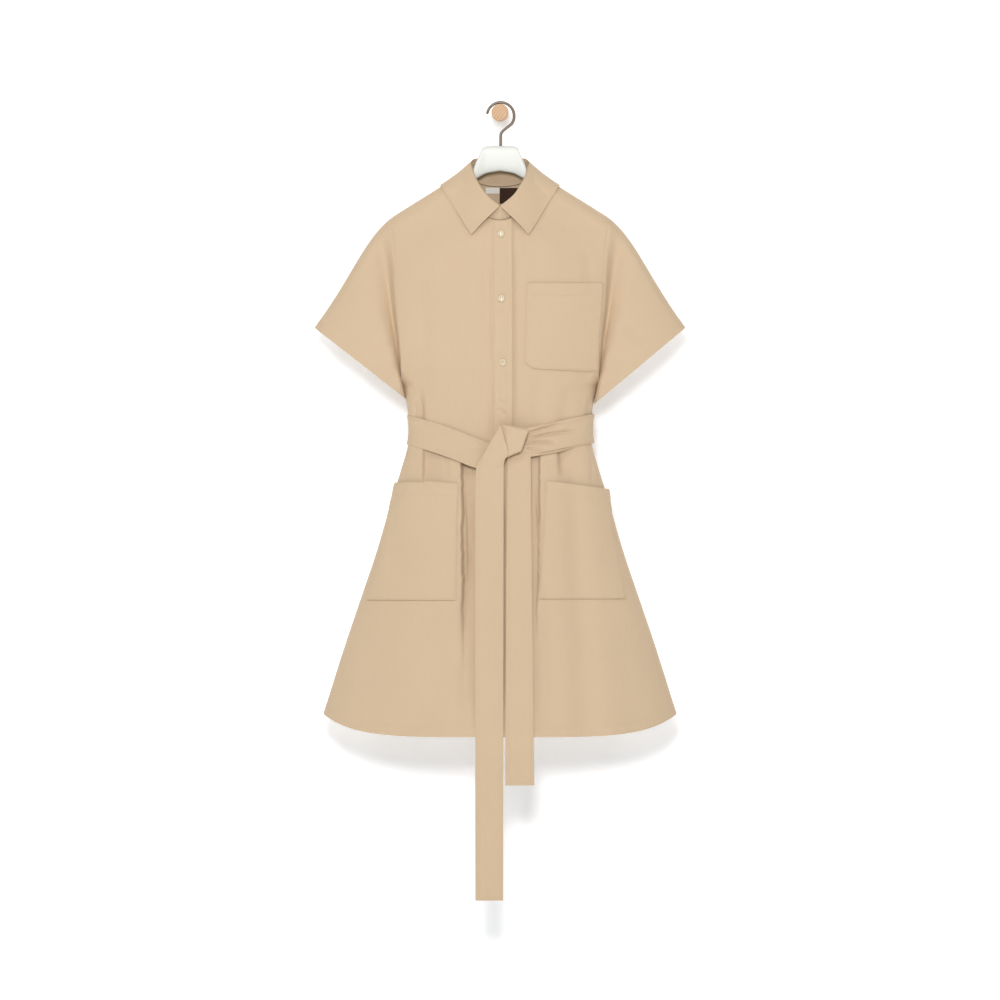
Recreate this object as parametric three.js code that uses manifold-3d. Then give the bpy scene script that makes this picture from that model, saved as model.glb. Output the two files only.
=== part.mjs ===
// Short-sleeved shirt dress with a tied belt, hung on a white hanger over a round wooden wall peg.
// Millimetres, +Z up. The front faces -Y. The origin is the centre of the peg's flat wall face.
import * as THREE from 'three';
import Module from 'manifold-3d';
import { mergeVertices } from 'three/addons/utils/BufferGeometryUtils.js';

const wasm = await Module();
wasm.setup();

// Driving dimensions
const HANG_Y = -80;            // plane of the hanger, in front of the wall
const CLOTH = 1.2;             // wall of a single layer of cotton
const DOUBLE = 1.6;            // wall of a folded layer: placket, pocket, collar
const BELT_WALL = 2.0;         // belt, two layers and an interlining
const SEAM_GAP = 0.4;          // space between two pieces at a seam
const LAY_GAP = 0.35;          // space between a piece and the panel that it lies on
const NECK_HALF = 56;          // half the neck hole's width, at the shoulder seams
const SHOULDER_TOP = -60.5;    // height where the two shoulder lines would cross
const SHOULDER_SLOPE = 0.625;  // fall of the shoulder seam, in mm for each mm outwards
const SHOULDER_HALF = 172;     // from the middle to the top of the armhole
const RIDGE_RADIUS = 21;       // how far the cloth stands out where it turns over the hanger
const RIDGE_EASE = 130;        // how far down it takes the body's full depth
const FRONT_NECK_DROP = 78;    // neck seam below the shoulder's neck end, at the front
const BACK_NECK_DROP = 24;     // and at the back
const UNDERARM_Z = -440;
const WAIST_Z = -529;
const HEM_Z = -1000;
const CROWN = 2.4;             // exponent of the section across the body

const CLOTH_COLOUR = 0xd9bf9b;

// The body at a height z: half its width, and its depth in front of and behind the hanger.
// armFront and armBack are the depths of the armhole's two edges, round is how round the side is.
const BODY = [
  { z: -60, half: 172, front: 30, back: 24, armFront: 21, armBack: 21, round: 1.0 },
  { z: -168, half: 172, front: 46, back: 34, armFront: 21, armBack: 21, round: 1.0 },
  { z: -225, half: 167, front: 50, back: 39, armFront: 26, armBack: 25, round: 1.0 },
  { z: -300, half: 165, front: 55, back: 43, armFront: 31, armBack: 29, round: 1.0 },
  { z: -370, half: 160, front: 57, back: 44, armFront: 33, armBack: 31, round: 1.0 },
  { z: -410, half: 158, front: 54, back: 42, armFront: 27, armBack: 26, round: 1.0 },
  { z: -430, half: 157, front: 52, back: 41, armFront: 15, armBack: 15, round: 1.2 },
  { z: -440, half: 156, front: 51, back: 40, armFront: 0, armBack: 0, round: 1.5 },
  { z: -470, half: 149, front: 47, back: 38, armFront: 0, armBack: 0, round: 2.0 },
  { z: -510, half: 145, front: 42, back: 35, armFront: 0, armBack: 0, round: 2.0 },
  { z: -529, half: 147, front: 43, back: 36, armFront: 0, armBack: 0, round: 2.0 },
  { z: -570, half: 158, front: 49, back: 39, armFront: 0, armBack: 0, round: 2.0 },
  { z: -608, half: 170, front: 54, back: 42, armFront: 0, armBack: 0, round: 2.0 },
  { z: -704, half: 198, front: 64, back: 48, armFront: 0, armBack: 0, round: 1.9 },
  { z: -781, half: 224, front: 71, back: 53, armFront: 0, armBack: 0, round: 1.8 },
  { z: -858, half: 250, front: 78, back: 57, armFront: 0, armBack: 0, round: 1.7 },
  { z: -934, half: 274, front: 83, back: 60, armFront: 0, armBack: 0, round: 1.7 },
  { z: -963, half: 283, front: 85, back: 61, armFront: 0, armBack: 0, round: 1.7 },
  { z: -1000, half: 295, front: 87, back: 62, armFront: 0, armBack: 0, round: 1.7 },
];

// Folds of the skirt. x is where a fold lies under the belt and hemX where it would lie at the hem.
// waistDeep and hemDeep are how far it sinks in at the two, and it fades out at reach below the waist.
// A trough is as wide to both sides. A tuck drops off at its edge over width, towards +X (way 1) or -X
// (way -1), and climbs back slowly over ramp.
const FRONT_FOLDS = [
  { kind: 'tuck', x: -126, hemX: -134, way: 1, width: 9, ramp: 52, waistDeep: 6, hemDeep: 4, reach: 78 },
  { kind: 'tuck', x: -66, hemX: -64, way: 1, width: 11, ramp: 58, waistDeep: 9, hemDeep: 6, reach: 380 },
  { kind: 'tuck', x: 61, hemX: 60, way: -1, width: 10, ramp: 56, waistDeep: 7, hemDeep: 5, reach: 360 },
  { kind: 'tuck', x: 74, hemX: 90, way: 1, width: 9, ramp: 26, waistDeep: 5, hemDeep: 3, reach: 62 },
  { kind: 'trough', x: 112, hemX: 138, width: 15, hemWidth: 26, waistDeep: 5, hemDeep: 7, reach: 900 },
];
const BACK_FOLDS = [
  { kind: 'tuck', x: -100, hemX: -122, way: 1, width: 11, ramp: 50, waistDeep: 6, hemDeep: 4, reach: 300 },
  { kind: 'trough', x: -34, hemX: -58, width: 16, hemWidth: 32, waistDeep: 4, hemDeep: 8, reach: 900 },
  { kind: 'trough', x: 48, hemX: 86, width: 16, hemWidth: 30, waistDeep: 4, hemDeep: 7, reach: 900 },
  { kind: 'tuck', x: 106, hemX: 130, way: -1, width: 11, ramp: 46, waistDeep: 6, hemDeep: 4, reach: 260 },
];

const clamp = (v, low, high) => Math.min(high, Math.max(low, v));
const mix = (a, b, t) => a + (b - a) * t;
const smooth = (t) => {
  const c = clamp(t, 0, 1);
  return c * c * (3 - 2 * c);
};

// Smooth curve through a table's column that never overshoots its rows.
function column(rows, along, key, at) {
  const sign = Math.sign(rows[rows.length - 1][along] - rows[0][along]);
  const slope = (i) => (rows[i + 1][key] - rows[i][key]) / (rows[i + 1][along] - rows[i][along]);
  const tangent = (i) => {
    if (i === 0) return slope(0);
    if (i === rows.length - 1) return slope(i - 1);
    const before = slope(i - 1);
    const after = slope(i);
    return before * after <= 0 ? 0 : (2 * before * after) / (before + after);
  };
  if (sign * (at - rows[0][along]) <= 0) return rows[0][key];
  if (sign * (at - rows[rows.length - 1][along]) >= 0) return rows[rows.length - 1][key];
  let i = 0;
  while (sign * (at - rows[i + 1][along]) > 0) i += 1;
  const span = rows[i + 1][along] - rows[i][along];
  const t = (at - rows[i][along]) / span;
  const t2 = t * t;
  const t3 = t2 * t;
  return rows[i][key] * (2 * t3 - 3 * t2 + 1) + tangent(i) * span * (t3 - 2 * t2 + t)
    + rows[i + 1][key] * (3 * t2 - 2 * t3) + tangent(i + 1) * span * (t3 - t2);
}

const shoulderZ = (x) => SHOULDER_TOP - SHOULDER_SLOPE * Math.abs(x);
const neckRise = (x) => Math.sqrt(Math.max(0, 1 - (x / NECK_HALF) ** 2));
const frontTop = (x) => shoulderZ(Math.max(NECK_HALF, Math.abs(x))) - FRONT_NECK_DROP * neckRise(x);
const backTop = (x) => shoulderZ(Math.max(NECK_HALF, Math.abs(x))) - BACK_NECK_DROP * neckRise(x);
const hemZ = (s) => HEM_Z + 37 * Math.abs(s) ** 5;        // level, and turned up at the side seams
const halfWidth = (z) => column(BODY, 'z', 'half', z);

// How far the skirt's folds sink in at a point of the front (side -1) or back (side +1).
function foldDepth(side, x, z) {
  const below = WAIST_Z - z;
  const down = clamp(below / (WAIST_Z - HEM_Z), 0, 1);
  let deep = 0;
  for (const fold of side < 0 ? FRONT_FOLDS : BACK_FOLDS) {
    const away = x - mix(fold.x, fold.hemX, down);
    const height = mix(fold.waistDeep, fold.hemDeep, down) * (1 - smooth((below / fold.reach - 0.5) / 0.5));
    if (fold.kind === 'trough') {
      const width = mix(fold.width, fold.hemWidth, down);
      deep += height * Math.exp(-((away / width) ** 2));
    } else {
      const past = away * fold.way;
      deep += height * smooth(past / fold.width) * (1 - smooth((past - fold.width) / fold.ramp));
    }
  }
  return deep * smooth(below / 22);
}

// Depth of the body's cloth at (x, z), from the hanger's plane: the mid-surface of the wall.
function depth(side, x, z) {
  const row = (key) => column(BODY, 'z', key, z);
  const s = clamp(Math.abs(x) / row('half'), 0, 1);
  const crown = (1 - s ** CROWN) ** (1 / row('round'));
  const full = mix(row(side < 0 ? 'armFront' : 'armBack'), row(side < 0 ? 'front' : 'back'), crown);
  const below = shoulderZ(x) - z;
  const cap = Math.sqrt(1 - (1 - clamp(below / RIDGE_RADIUS, 0, 1)) ** 2);
  const folds = foldDepth(side, x, z) * smooth((1 - s) / 0.12);
  return cap * mix(RIDGE_RADIUS, full, smooth(below / RIDGE_EASE)) - folds;
}
const bodyPoint = (side, x, z) => new THREE.Vector3(x, HANG_Y + side * depth(side, x, z), z);

// Outward direction of the body's cloth, from its slope.
function bodyNormal(side, x, z) {
  const step = 0.5;
  const dx = (depth(side, x + step, z) - depth(side, x - step, z)) / (2 * step);
  const dz = (depth(side, x, z + step) - depth(side, x, z - step)) / (2 * step);
  return new THREE.Vector3(-dx, side, -dz).normalize();
}

// A closed wall about a grid of points. Each row of points has the same length; a ring closes on itself.
function wall(points, thickness, { ring = false, normals = null, shift = 0 } = {}) {
  const rows = points.length;
  const cols = points[0].length;
  const at = (i, j) => points[clamp(i, 0, rows - 1)][ring ? (j + cols) % cols : clamp(j, 0, cols - 1)];
  const positions = [];
  for (const level of [shift + thickness / 2, shift - thickness / 2]) {
    for (let i = 0; i < rows; i += 1) {
      for (let j = 0; j < cols; j += 1) {
        const along = new THREE.Vector3().subVectors(at(i, j + 1), at(i, j - 1));
        const across = new THREE.Vector3().subVectors(at(i + 1, j), at(i - 1, j));
        const own = normals ? normals(i, j) : null;
        const n = own ?? new THREE.Vector3().crossVectors(along, across).normalize();
        positions.push(...new THREE.Vector3().copy(at(i, j)).addScaledVector(n, level).toArray());
      }
    }
  }
  const inner = rows * cols;
  const id = (i, j, layer) => layer * inner + i * cols + ((j + cols) % cols);
  const indices = [];
  const quad = (a, b, c, d) => indices.push(a, b, c, a, c, d);
  const lastCol = ring ? cols : cols - 1;
  for (let i = 0; i < rows - 1; i += 1) {
    for (let j = 0; j < lastCol; j += 1) {
      quad(id(i, j, 0), id(i, j + 1, 0), id(i + 1, j + 1, 0), id(i + 1, j, 0));
      quad(id(i, j, 1), id(i + 1, j, 1), id(i + 1, j + 1, 1), id(i, j + 1, 1));
    }
    if (!ring) {
      quad(id(i, 0, 0), id(i + 1, 0, 0), id(i + 1, 0, 1), id(i, 0, 1));
      quad(id(i, cols - 1, 1), id(i + 1, cols - 1, 1), id(i + 1, cols - 1, 0), id(i, cols - 1, 0));
    }
  }
  for (let j = 0; j < lastCol; j += 1) {
    quad(id(0, j, 1), id(0, j + 1, 1), id(0, j + 1, 0), id(0, j, 0));
    quad(id(rows - 1, j, 0), id(rows - 1, j + 1, 0), id(rows - 1, j + 1, 1), id(rows - 1, j, 1));
  }
  const geometry = new THREE.BufferGeometry();
  geometry.setAttribute('position', new THREE.Float32BufferAttribute(positions, 3));
  geometry.setIndex(indices);
  return geometry;
}

const group = new THREE.Group();
function add(name, geometry, colour, roughness, metalness = 0) {
  const material = new THREE.MeshStandardMaterial({ color: colour, roughness, metalness });
  const mesh = new THREE.Mesh(geometry, material);
  mesh.name = name;
  group.add(mesh);
}
const addCloth = (name, geometry) => add(name, geometry, CLOTH_COLOUR, 0.85);

// Steps from 0 to 1
const steps = (count) => Array.from({ length: count + 1 }, (_, i) => i / count);

// Panels of the bodice. A column runs from the waist seam up to the neck or shoulder seam. Its place
// is its distance from the middle at the top, and it keeps that share of the body's width all the way
// down. Columns crowd beside the neck hole and towards the round side.
const COLUMNS = [0, 18, 33, 45, 53, NECK_HALF, 78, 102, 128, 151, 165, 171, SHOULDER_HALF];
const ROWS_ABOVE = 11;         // rows from the top down to the underarm
const ROWS_BELOW = 4;          // and from the underarm to the waist seam
const BODICE_ROWS = ROWS_ABOVE + ROWS_BELOW;
const ROW_CROWDING = 2.2;      // rows crowd towards the shoulder seam, where the cloth turns over
const PLACKET = { left: -12.5, right: 18.5 };

function bodiceRowZ(top, row) {
  const t = row / ROWS_ABOVE;
  if (t <= 1) return top - (top - UNDERARM_Z) * mix(t ** ROW_CROWDING, smooth(t), 0.5);
  return mix(UNDERARM_Z, WAIST_Z + SEAM_GAP / 2, (row - ROWS_ABOVE) / ROWS_BELOW);
}
const sideFacing = (sign, z) => {
  const lean = (halfWidth(z + 1) - halfWidth(z - 1)) / 2;
  return new THREE.Vector3(sign, 0, -lean).normalize();
};
const ridgeFacing = (sign) => new THREE.Vector3(sign * SHOULDER_SLOPE, 0, 1).normalize();

// One panel through a list of columns. The first or last may be a side seam.
function bodicePanel(side, columns) {
  const topOf = side < 0 ? frontTop : backTop;
  const facings = [];
  const points = [];
  for (let row = BODICE_ROWS; row >= 0; row -= 1) {
    const facingRow = [];
    facings.push(facingRow);
    points.push(columns.map((place) => {
      const share = place / SHOULDER_HALF;
      const z = bodiceRowZ(topOf(place), row);
      const x = halfWidth(z) * share;
      const atSide = Math.abs(share) > 0.9999;
      const point = bodyPoint(side, x, z);
      let facing = bodyNormal(side, x * (atSide ? 0.985 : 1), z);
      if (row === 0 && Math.abs(place) >= NECK_HALF) {
        point.y = HANG_Y + side * (SEAM_GAP / 2);
        facing = ridgeFacing(Math.sign(share));
      } else if (atSide && row >= ROWS_ABOVE) {
        point.y = HANG_Y + side * (SEAM_GAP / 2);
        facing = sideFacing(Math.sign(share), z);
      }
      facingRow.push(facing);
      return point;
    }));
  }
  return orient(points, facings, side);
}

// Rows run upwards, columns towards +X on the front and towards -X on the back, so faces point out.
function orient(points, facings, side) {
  const turn = (rows) => (side < 0 ? rows : rows.map((row) => [...row].reverse()));
  const p = turn(points);
  const f = turn(facings);
  return { points: p, normals: (i, j) => f[i][j] };
}

const frontSeam = PLACKET.left + 2;                 // the left front's edge, under the placket
const rightColumns = COLUMNS.slice(1).reverse().map((x) => -x);
const leftColumns = COLUMNS;
const frontRight = bodicePanel(-1, [...rightColumns, frontSeam - SEAM_GAP / 2]);
const frontLeft = bodicePanel(-1, [frontSeam + SEAM_GAP / 2, ...leftColumns]);
const bodiceBack = bodicePanel(1, [...rightColumns, ...leftColumns]);
addCloth('bodice_front_right', wall(frontRight.points, CLOTH, { normals: frontRight.normals }));
addCloth('bodice_front_left', wall(frontLeft.points, CLOTH, { normals: frontLeft.normals }));
addCloth('bodice_back', wall(bodiceBack.points, CLOTH, { normals: bodiceBack.normals }));

// Panels of the skirt, from the waist seam down to the hem
const SKIRT_ROWS = 11;
const SKIRT_COLS = { front: 40, back: 32 };
const skirtShares = (cols) => steps(cols).map((u) => Math.sin(Math.PI * (u - 0.5)));
function skirtPanel(side) {
  const facings = [];
  const shares = skirtShares(side < 0 ? SKIRT_COLS.front : SKIRT_COLS.back);
  const points = steps(SKIRT_ROWS).map((v) => {
    const facingRow = [];
    facings.push(facingRow);
    return shares.map((sine) => {
      const z = mix(hemZ(sine), WAIST_Z - SEAM_GAP / 2, v);
      const x = halfWidth(z) * sine;
      const point = bodyPoint(side, x, z);
      const atSide = Math.abs(sine) > 0.9999;
      if (atSide) point.y = HANG_Y + side * (SEAM_GAP / 2);
      facingRow.push(atSide ? sideFacing(Math.sign(sine), z) : bodyNormal(side, x, z));
      return point;
    });
  });
  return orient(points, facings, side);
}
for (const [name, side] of [['skirt_front', -1], ['skirt_back', 1]]) {
  const panel = skirtPanel(side);
  addCloth(name, wall(panel.points, CLOTH, { normals: panel.normals }));
}

// Sleeves: a short wide tube from the armhole to the cuff. The armhole's points are the panels' own.
const SLEEVE_RINGS = 6;
const SLEEVE = {
  top: new THREE.Vector3(296.5, 0, -345.5),      // the cuff's upper corner
  bottomRight: new THREE.Vector3(154.4, 0, -458.5),   // and its lower corner, under each arm
  bottomLeft: new THREE.Vector3(157.8, 0, -467),
  halfDepthFront: 34,
  halfDepthBack: 30,
  shoulderBulge: 7,                              // how far the top line bows out past the shoulder
  trough: 9,                                     // soft trough beside the armhole seam
  lead: 1.0,                                     // the tube starts this far outside the armhole
  leadUnder: 1.7,                                // and this far at its lowest point, beside the body's wall
};

function armholeLoop() {
  const top = frontTop(SHOULDER_HALF);
  const used = Array.from({ length: ROWS_ABOVE + 1 }, (_, row) => bodiceRowZ(top, row));
  const edge = (side, z, row) => {
    const y = row === 0 || row === ROWS_ABOVE ? 0 : depth(side, halfWidth(z), z);
    return { x: halfWidth(z), y: side * y, z, share: (top - z) / (top - UNDERARM_Z), side };
  };
  const front = used.map((z, row) => edge(-1, z, row));
  const back = used.map((z, row) => edge(1, z, row)).slice(1, ROWS_ABOVE).reverse();
  return [...front, ...back];
}

// Point of the sleeve at a share r of the way from the armhole to the cuff, on the wearer's left.
function sleevePoint(a, r, bottom) {
  const cuffDepth = a.side < 0 ? SLEEVE.halfDepthFront : SLEEVE.halfDepthBack;
  const arc = Math.sqrt(Math.max(0, 1 - (2 * a.share - 1) ** 2));
  const cuff = new THREE.Vector3().lerpVectors(SLEEVE.top, bottom, a.share);
  cuff.y = a.side * cuffDepth * arc;
  const bow = SLEEVE.shoulderBulge * 9.5 * r * (1 - r) ** 3 * (1 - a.share) ** 3;
  const troughAt = Math.exp(-(((r - 0.2) / 0.14) ** 2)) * arc * smooth(r / 0.1);
  const x = mix(a.x, cuff.x, r) + bow * 0.82;
  const z = mix(a.z, cuff.z, r) + bow * 0.57;
  const y = mix(a.y, cuff.y, r) - a.side * SLEEVE.trough * troughAt * mix(0.5, 1, a.share);
  return new THREE.Vector3(x, y, z);
}

function sleeve(sign) {
  const lead = (a) => mix(SLEEVE.lead, SLEEVE.leadUnder, a.share ** 3);
  const loop = armholeLoop().map((a) => ({ ...a, x: a.x + lead(a) }));
  const rings = steps(SLEEVE_RINGS).map((r) => loop.map((a) => {
    const p = sleevePoint(a, r, sign < 0 ? SLEEVE.bottomRight : SLEEVE.bottomLeft);
    return new THREE.Vector3(sign * p.x, HANG_Y + p.y, p.z);
  }));
  return wall(sign > 0 ? rings.map((ring) => [...ring].reverse()) : rings, CLOTH, { ring: true });
}
addCloth('sleeve_right', sleeve(-1));
addCloth('sleeve_left', sleeve(1));

// Pieces that lie on a panel are made from its points, moved out. Their columns are the panel's own
// between the two edges, so that both turn at the same places.
function onPanel({ shares, rows, thickness, lift, zOf, innerOf, outerOf, outOf = () => 0 }) {
  const inside = shares.filter((s) => s > Math.max(innerOf(0), innerOf(1)) + 0.015
    && s < Math.min(outerOf(0), outerOf(1)) - 0.015);
  const rowOfShares = (v) => {
    const split = (a, b, widest) => {
      const parts = Math.max(1, Math.round(widest / 0.07));
      return steps(parts).slice(1, parts).map((u) => mix(a, b, u));
    };
    const [first, last] = [inside[0], inside[inside.length - 1]];
    const lead = split(innerOf(v), first, first - Math.min(innerOf(0), innerOf(1)));
    const tail = split(last, outerOf(v), Math.max(outerOf(0), outerOf(1)) - last);
    return [innerOf(v), ...lead, ...inside, ...tail, outerOf(v)];
  };
  const cols = rowOfShares(0).length - 1;
  const facings = [];
  const points = steps(rows).map((v) => {
    const facingRow = [];
    facings.push(facingRow);
    const across = rowOfShares(v);
    return across.map((share, k) => {
      const z = zOf(k / cols, v, (share - across[0]) / (across[cols] - across[0]));
      const x = share * halfWidth(z);
      const n = bodyNormal(-1, x, z);
      facingRow.push(n);
      const level = CLOTH / 2 + LAY_GAP + thickness / 2 + lift + outOf(k / cols, v);
      return bodyPoint(-1, x, z).addScaledVector(n, level);
    });
  });
  return wall(points, thickness, { normals: (i, j) => facings[i][j] });
}
const bodiceShares = [...rightColumns, ...leftColumns].map((x) => x / SHOULDER_HALF);

// The placket keeps its width, so its edges cross the panel's columns a little.
const placketRows = 20;
addCloth('front_placket', (() => {
  const facings = [];
  const points = steps(placketRows).map((v) => {
    const facingRow = [];
    facings.push(facingRow);
    return [PLACKET.left, PLACKET.left + 2, 0, 9, PLACKET.right].map((x) => {
      const z = mix(WAIST_Z + 1, frontTop(x) - 1, v);
      const n = bodyNormal(-1, x, z);
      facingRow.push(n);
      return bodyPoint(-1, x, z).addScaledVector(n, CLOTH / 2 + LAY_GAP + DOUBLE / 2 + 0.2);
    });
  });
  return wall(points, DOUBLE, { normals: (i, j) => facings[i][j] });
})());

// Chest pocket on the wearer's left front, one side caught in the armhole seam
const CHEST_POCKET = { left: 43.5, leftBottom: 39.5, top: -274, bottom: -410, bottomRight: -415, cut: 9 };
addCloth('chest_pocket', onPanel({
  shares: bodiceShares,
  rows: 8,
  thickness: DOUBLE,
  lift: 0.35,
  innerOf: (v) => mix(CHEST_POCKET.leftBottom / halfWidth(-410), CHEST_POCKET.left / halfWidth(-274), v),
  outerOf: () => 0.968,
  zOf: (k, v, u) => {
    const corner = CHEST_POCKET.cut * clamp(1 - u * 9, 0, 1);
    const low = mix(CHEST_POCKET.bottom, CHEST_POCKET.bottomRight, u) + corner;
    return mix(low, CHEST_POCKET.top, v);
  },
}));

// Hip pockets. Edges are shares of the body's half width; the mouth gapes towards the side seam.
const HIP_POCKETS = [
  { name: 'hip_pocket_right', sign: -1, top: -594, topSide: -594, bottom: -781,
    innerTop: 0.4, outerTop: 0.972, innerBottom: 0.313, outerBottom: 0.95 },
  { name: 'hip_pocket_left', sign: 1, top: -590, topSide: -605, bottom: -779,
    innerTop: 0.445, outerTop: 0.972, innerBottom: 0.274, outerBottom: 0.9 },
];
for (const pocket of HIP_POCKETS) {
  const inner = (v) => pocket.sign * mix(pocket.innerBottom, pocket.innerTop, v);
  const outer = (v) => pocket.sign * mix(pocket.outerBottom, pocket.outerTop, v);
  const toSide = (u) => (pocket.sign < 0 ? 1 - u : u);
  addCloth(pocket.name, onPanel({
    shares: skirtShares(SKIRT_COLS.front),
    rows: 9,
    thickness: DOUBLE,
    lift: 0.4,
    innerOf: pocket.sign < 0 ? outer : inner,
    outerOf: pocket.sign < 0 ? inner : outer,
    zOf: (k, v, u) => mix(pocket.bottom, mix(pocket.top, pocket.topSide, toSide(u)), v),
    outOf: (k, v) => 5 * smooth((v - 0.55) / 0.45) * smooth(toSide(k) / 0.5),
  }));
}

// Collar: a stand that rises from the neck seam, and a leaf that folds over it.
// The fold line is a row for each place from the middle of the front to the middle of the back.
const FOLD_LINE = [
  { t: 0.00, x: 0, y: -50, z: -151 },
  { t: 0.15, x: 20.8, y: -43, z: -133 },
  { t: 0.26, x: 30.4, y: -37, z: -120 },
  { t: 0.37, x: 37.5, y: -28, z: -107 },
  { t: 0.48, x: 43, y: -15, z: -93 },
  { t: 0.60, x: 45, y: 0, z: -82 },
  { t: 0.74, x: 40, y: 15, z: -75 },
  { t: 0.88, x: 21, y: 25, z: -73 },
  { t: 1.00, x: 0, y: 28, z: -72 },
];
// The leaf's outer edge, from its point round to the middle of the back
const LEAF_EDGE = [
  { t: 0.00, x: 43.5, z: -196.5 },
  { t: 0.15, x: 56.5, z: -176.5 },
  { t: 0.30, x: 69.5, z: -156.5 },
  { t: 0.45, x: 82.5, z: -136.5 },
  { t: 0.57, x: 94.5, z: -119.5 },
  { t: 0.68, x: 89, z: -122 },
  { t: 0.80, x: 62, z: -128 },
  { t: 0.90, x: 34, z: -132 },
  { t: 1.00, x: 0, z: -133 },
];
const SHOULDER_SHARE = 0.57;   // share of the leaf's edge that lies in front of the shoulder seam
const foldPoint = (t, sign) => new THREE.Vector3(
  sign * column(FOLD_LINE, 't', 'x', t),
  HANG_Y + column(FOLD_LINE, 't', 'y', t),
  column(FOLD_LINE, 't', 'z', t),
);
const LEAF_LIFT = 2.75;         // mid-surface of the leaf's edge above the mid-surface of the shoulder
function leafEdgePoint(t, sign) {
  const x = column(LEAF_EDGE, 't', 'x', t);
  const side = t < SHOULDER_SHARE ? -1 : 1;
  const z = Math.min(column(LEAF_EDGE, 't', 'z', t), shoulderZ(x));
  const atRidge = shoulderZ(x) - z < 0.5;
  const n = atRidge ? ridgeFacing(1) : bodyNormal(side, x, z - 0.6);
  const p = atRidge ? new THREE.Vector3(x, HANG_Y, z) : bodyPoint(side, x, z);
  p.addScaledVector(n, LEAF_LIFT);
  p.x *= sign;
  return p;
}

// Moves a point of the leaf out to LEAF_LIFT from the bodice where it would lie closer.
function clearOfBodice(p) {
  const side = p.y < HANG_Y ? -1 : 1;
  const top = side < 0 ? frontTop(p.x) : backTop(p.x);
  if (p.z > Math.min(top, shoulderZ(p.x) - 0.4)) return p;
  const n = bodyNormal(side, p.x, p.z);
  const clear = (Math.abs(p.y - HANG_Y) - depth(side, p.x, p.z)) * Math.abs(n.y);
  return clear < LEAF_LIFT ? p.addScaledVector(n, LEAF_LIFT - clear) : p;
}

const LEAF_COLS = 22;
const LEAF_ROWS = 5;
function collarLeaf() {
  const ends = steps(LEAF_COLS * 2).map((s) => s * 2 - 1);
  const rows = steps(LEAF_ROWS).map((v) => ends.map((e) => {
    const t = 1 - Math.abs(e);
    const sign = e < 0 ? -1 : 1;
    const from = foldPoint(t, sign);
    from.x += sign * 0.6 * (1 - t);
    const to = leafEdgePoint(t, sign);
    const p = new THREE.Vector3().lerpVectors(from, to, v);
    const away = new THREE.Vector3(p.x, p.y - HANG_Y, 0).normalize();
    const rise = 3.5 * Math.sin(Math.PI * Math.sqrt(v)) * Math.abs(1 - t / SHOULDER_SHARE);
    p.addScaledVector(away, 1.1 * (1 - v) + rise).add(new THREE.Vector3(0, 0, 0.5 * (1 - v)));
    return clearOfBodice(p);
  }));
  return wall(rows, DOUBLE);
}

const STAND_END = 16.5;        // the stand's end, level with the placket's edge
const STAND_COLS = 30;
const STAND_ROWS = 3;
function neckSeamPoint(angle) {
  const x = NECK_HALF * Math.sin(angle);
  const side = Math.cos(angle) > 0 ? -1 : 1;
  const z = side < 0 ? frontTop(x) : backTop(x);
  return new THREE.Vector3(x, HANG_Y + side * depth(side, x, z), z);
}
function foldShare(angle) {    // matches the neck seam's angle to a place on the fold line
  const a = Math.abs(angle) / Math.PI;
  return clamp(a < 0.5 ? a * 1.2 : 0.6 + (a - 0.5) * 0.8, 0, 1);
}
function collarStand() {
  const start = Math.asin(STAND_END / NECK_HALF);
  const rows = steps(STAND_ROWS).map((v) => steps(STAND_COLS).map((u) => {
    const angle = mix(start - 2 * Math.PI + 0.012, start, u);
    const turned = angle < -Math.PI ? angle + 2 * Math.PI : angle;
    const base = neckSeamPoint(turned);
    const inward = new THREE.Vector3(-base.x, HANG_Y - base.y, 0).normalize();
    base.addScaledVector(inward, 1.7);
    base.z += 0.9;
    const top = foldPoint(foldShare(turned), Math.sign(turned) || 1);
    top.addScaledVector(inward, 0.7);
    top.z -= 1.2;
    return new THREE.Vector3().lerpVectors(top, base, v);
  }));
  return wall(rows.reverse(), CLOTH);
}
addCloth('collar_stand', collarStand());
addCloth('collar_leaf', collarLeaf());

// Buttons: a turned disc with a raised rim and four holes, lying on the placket
const BUTTON = { radius: 5.7, rim: 2.6, dish: 1.7, hole: 0.7, holePitch: 1.5 };
const BUTTONS = [{ x: 1.0, z: -195 }, { x: 2.2, z: -298.5 }, { x: 4.2, z: -400 }];

function toManifold(geometry) {
  const bare = geometry.clone();
  for (const extra of ['normal', 'uv']) bare.deleteAttribute(extra);
  const merged = mergeVertices(bare);
  return new wasm.Manifold(new wasm.Mesh({
    numProp: 3,
    vertProperties: merged.attributes.position.array,
    triVerts: new Uint32Array(merged.index.array),
  }));
}
function fromManifold(solid) {
  const mesh = solid.getMesh();
  const geometry = new THREE.BufferGeometry();
  geometry.setAttribute('position', new THREE.BufferAttribute(mesh.vertProperties, 3));
  geometry.setIndex(new THREE.BufferAttribute(mesh.triVerts, 1));
  return geometry;
}

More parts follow.
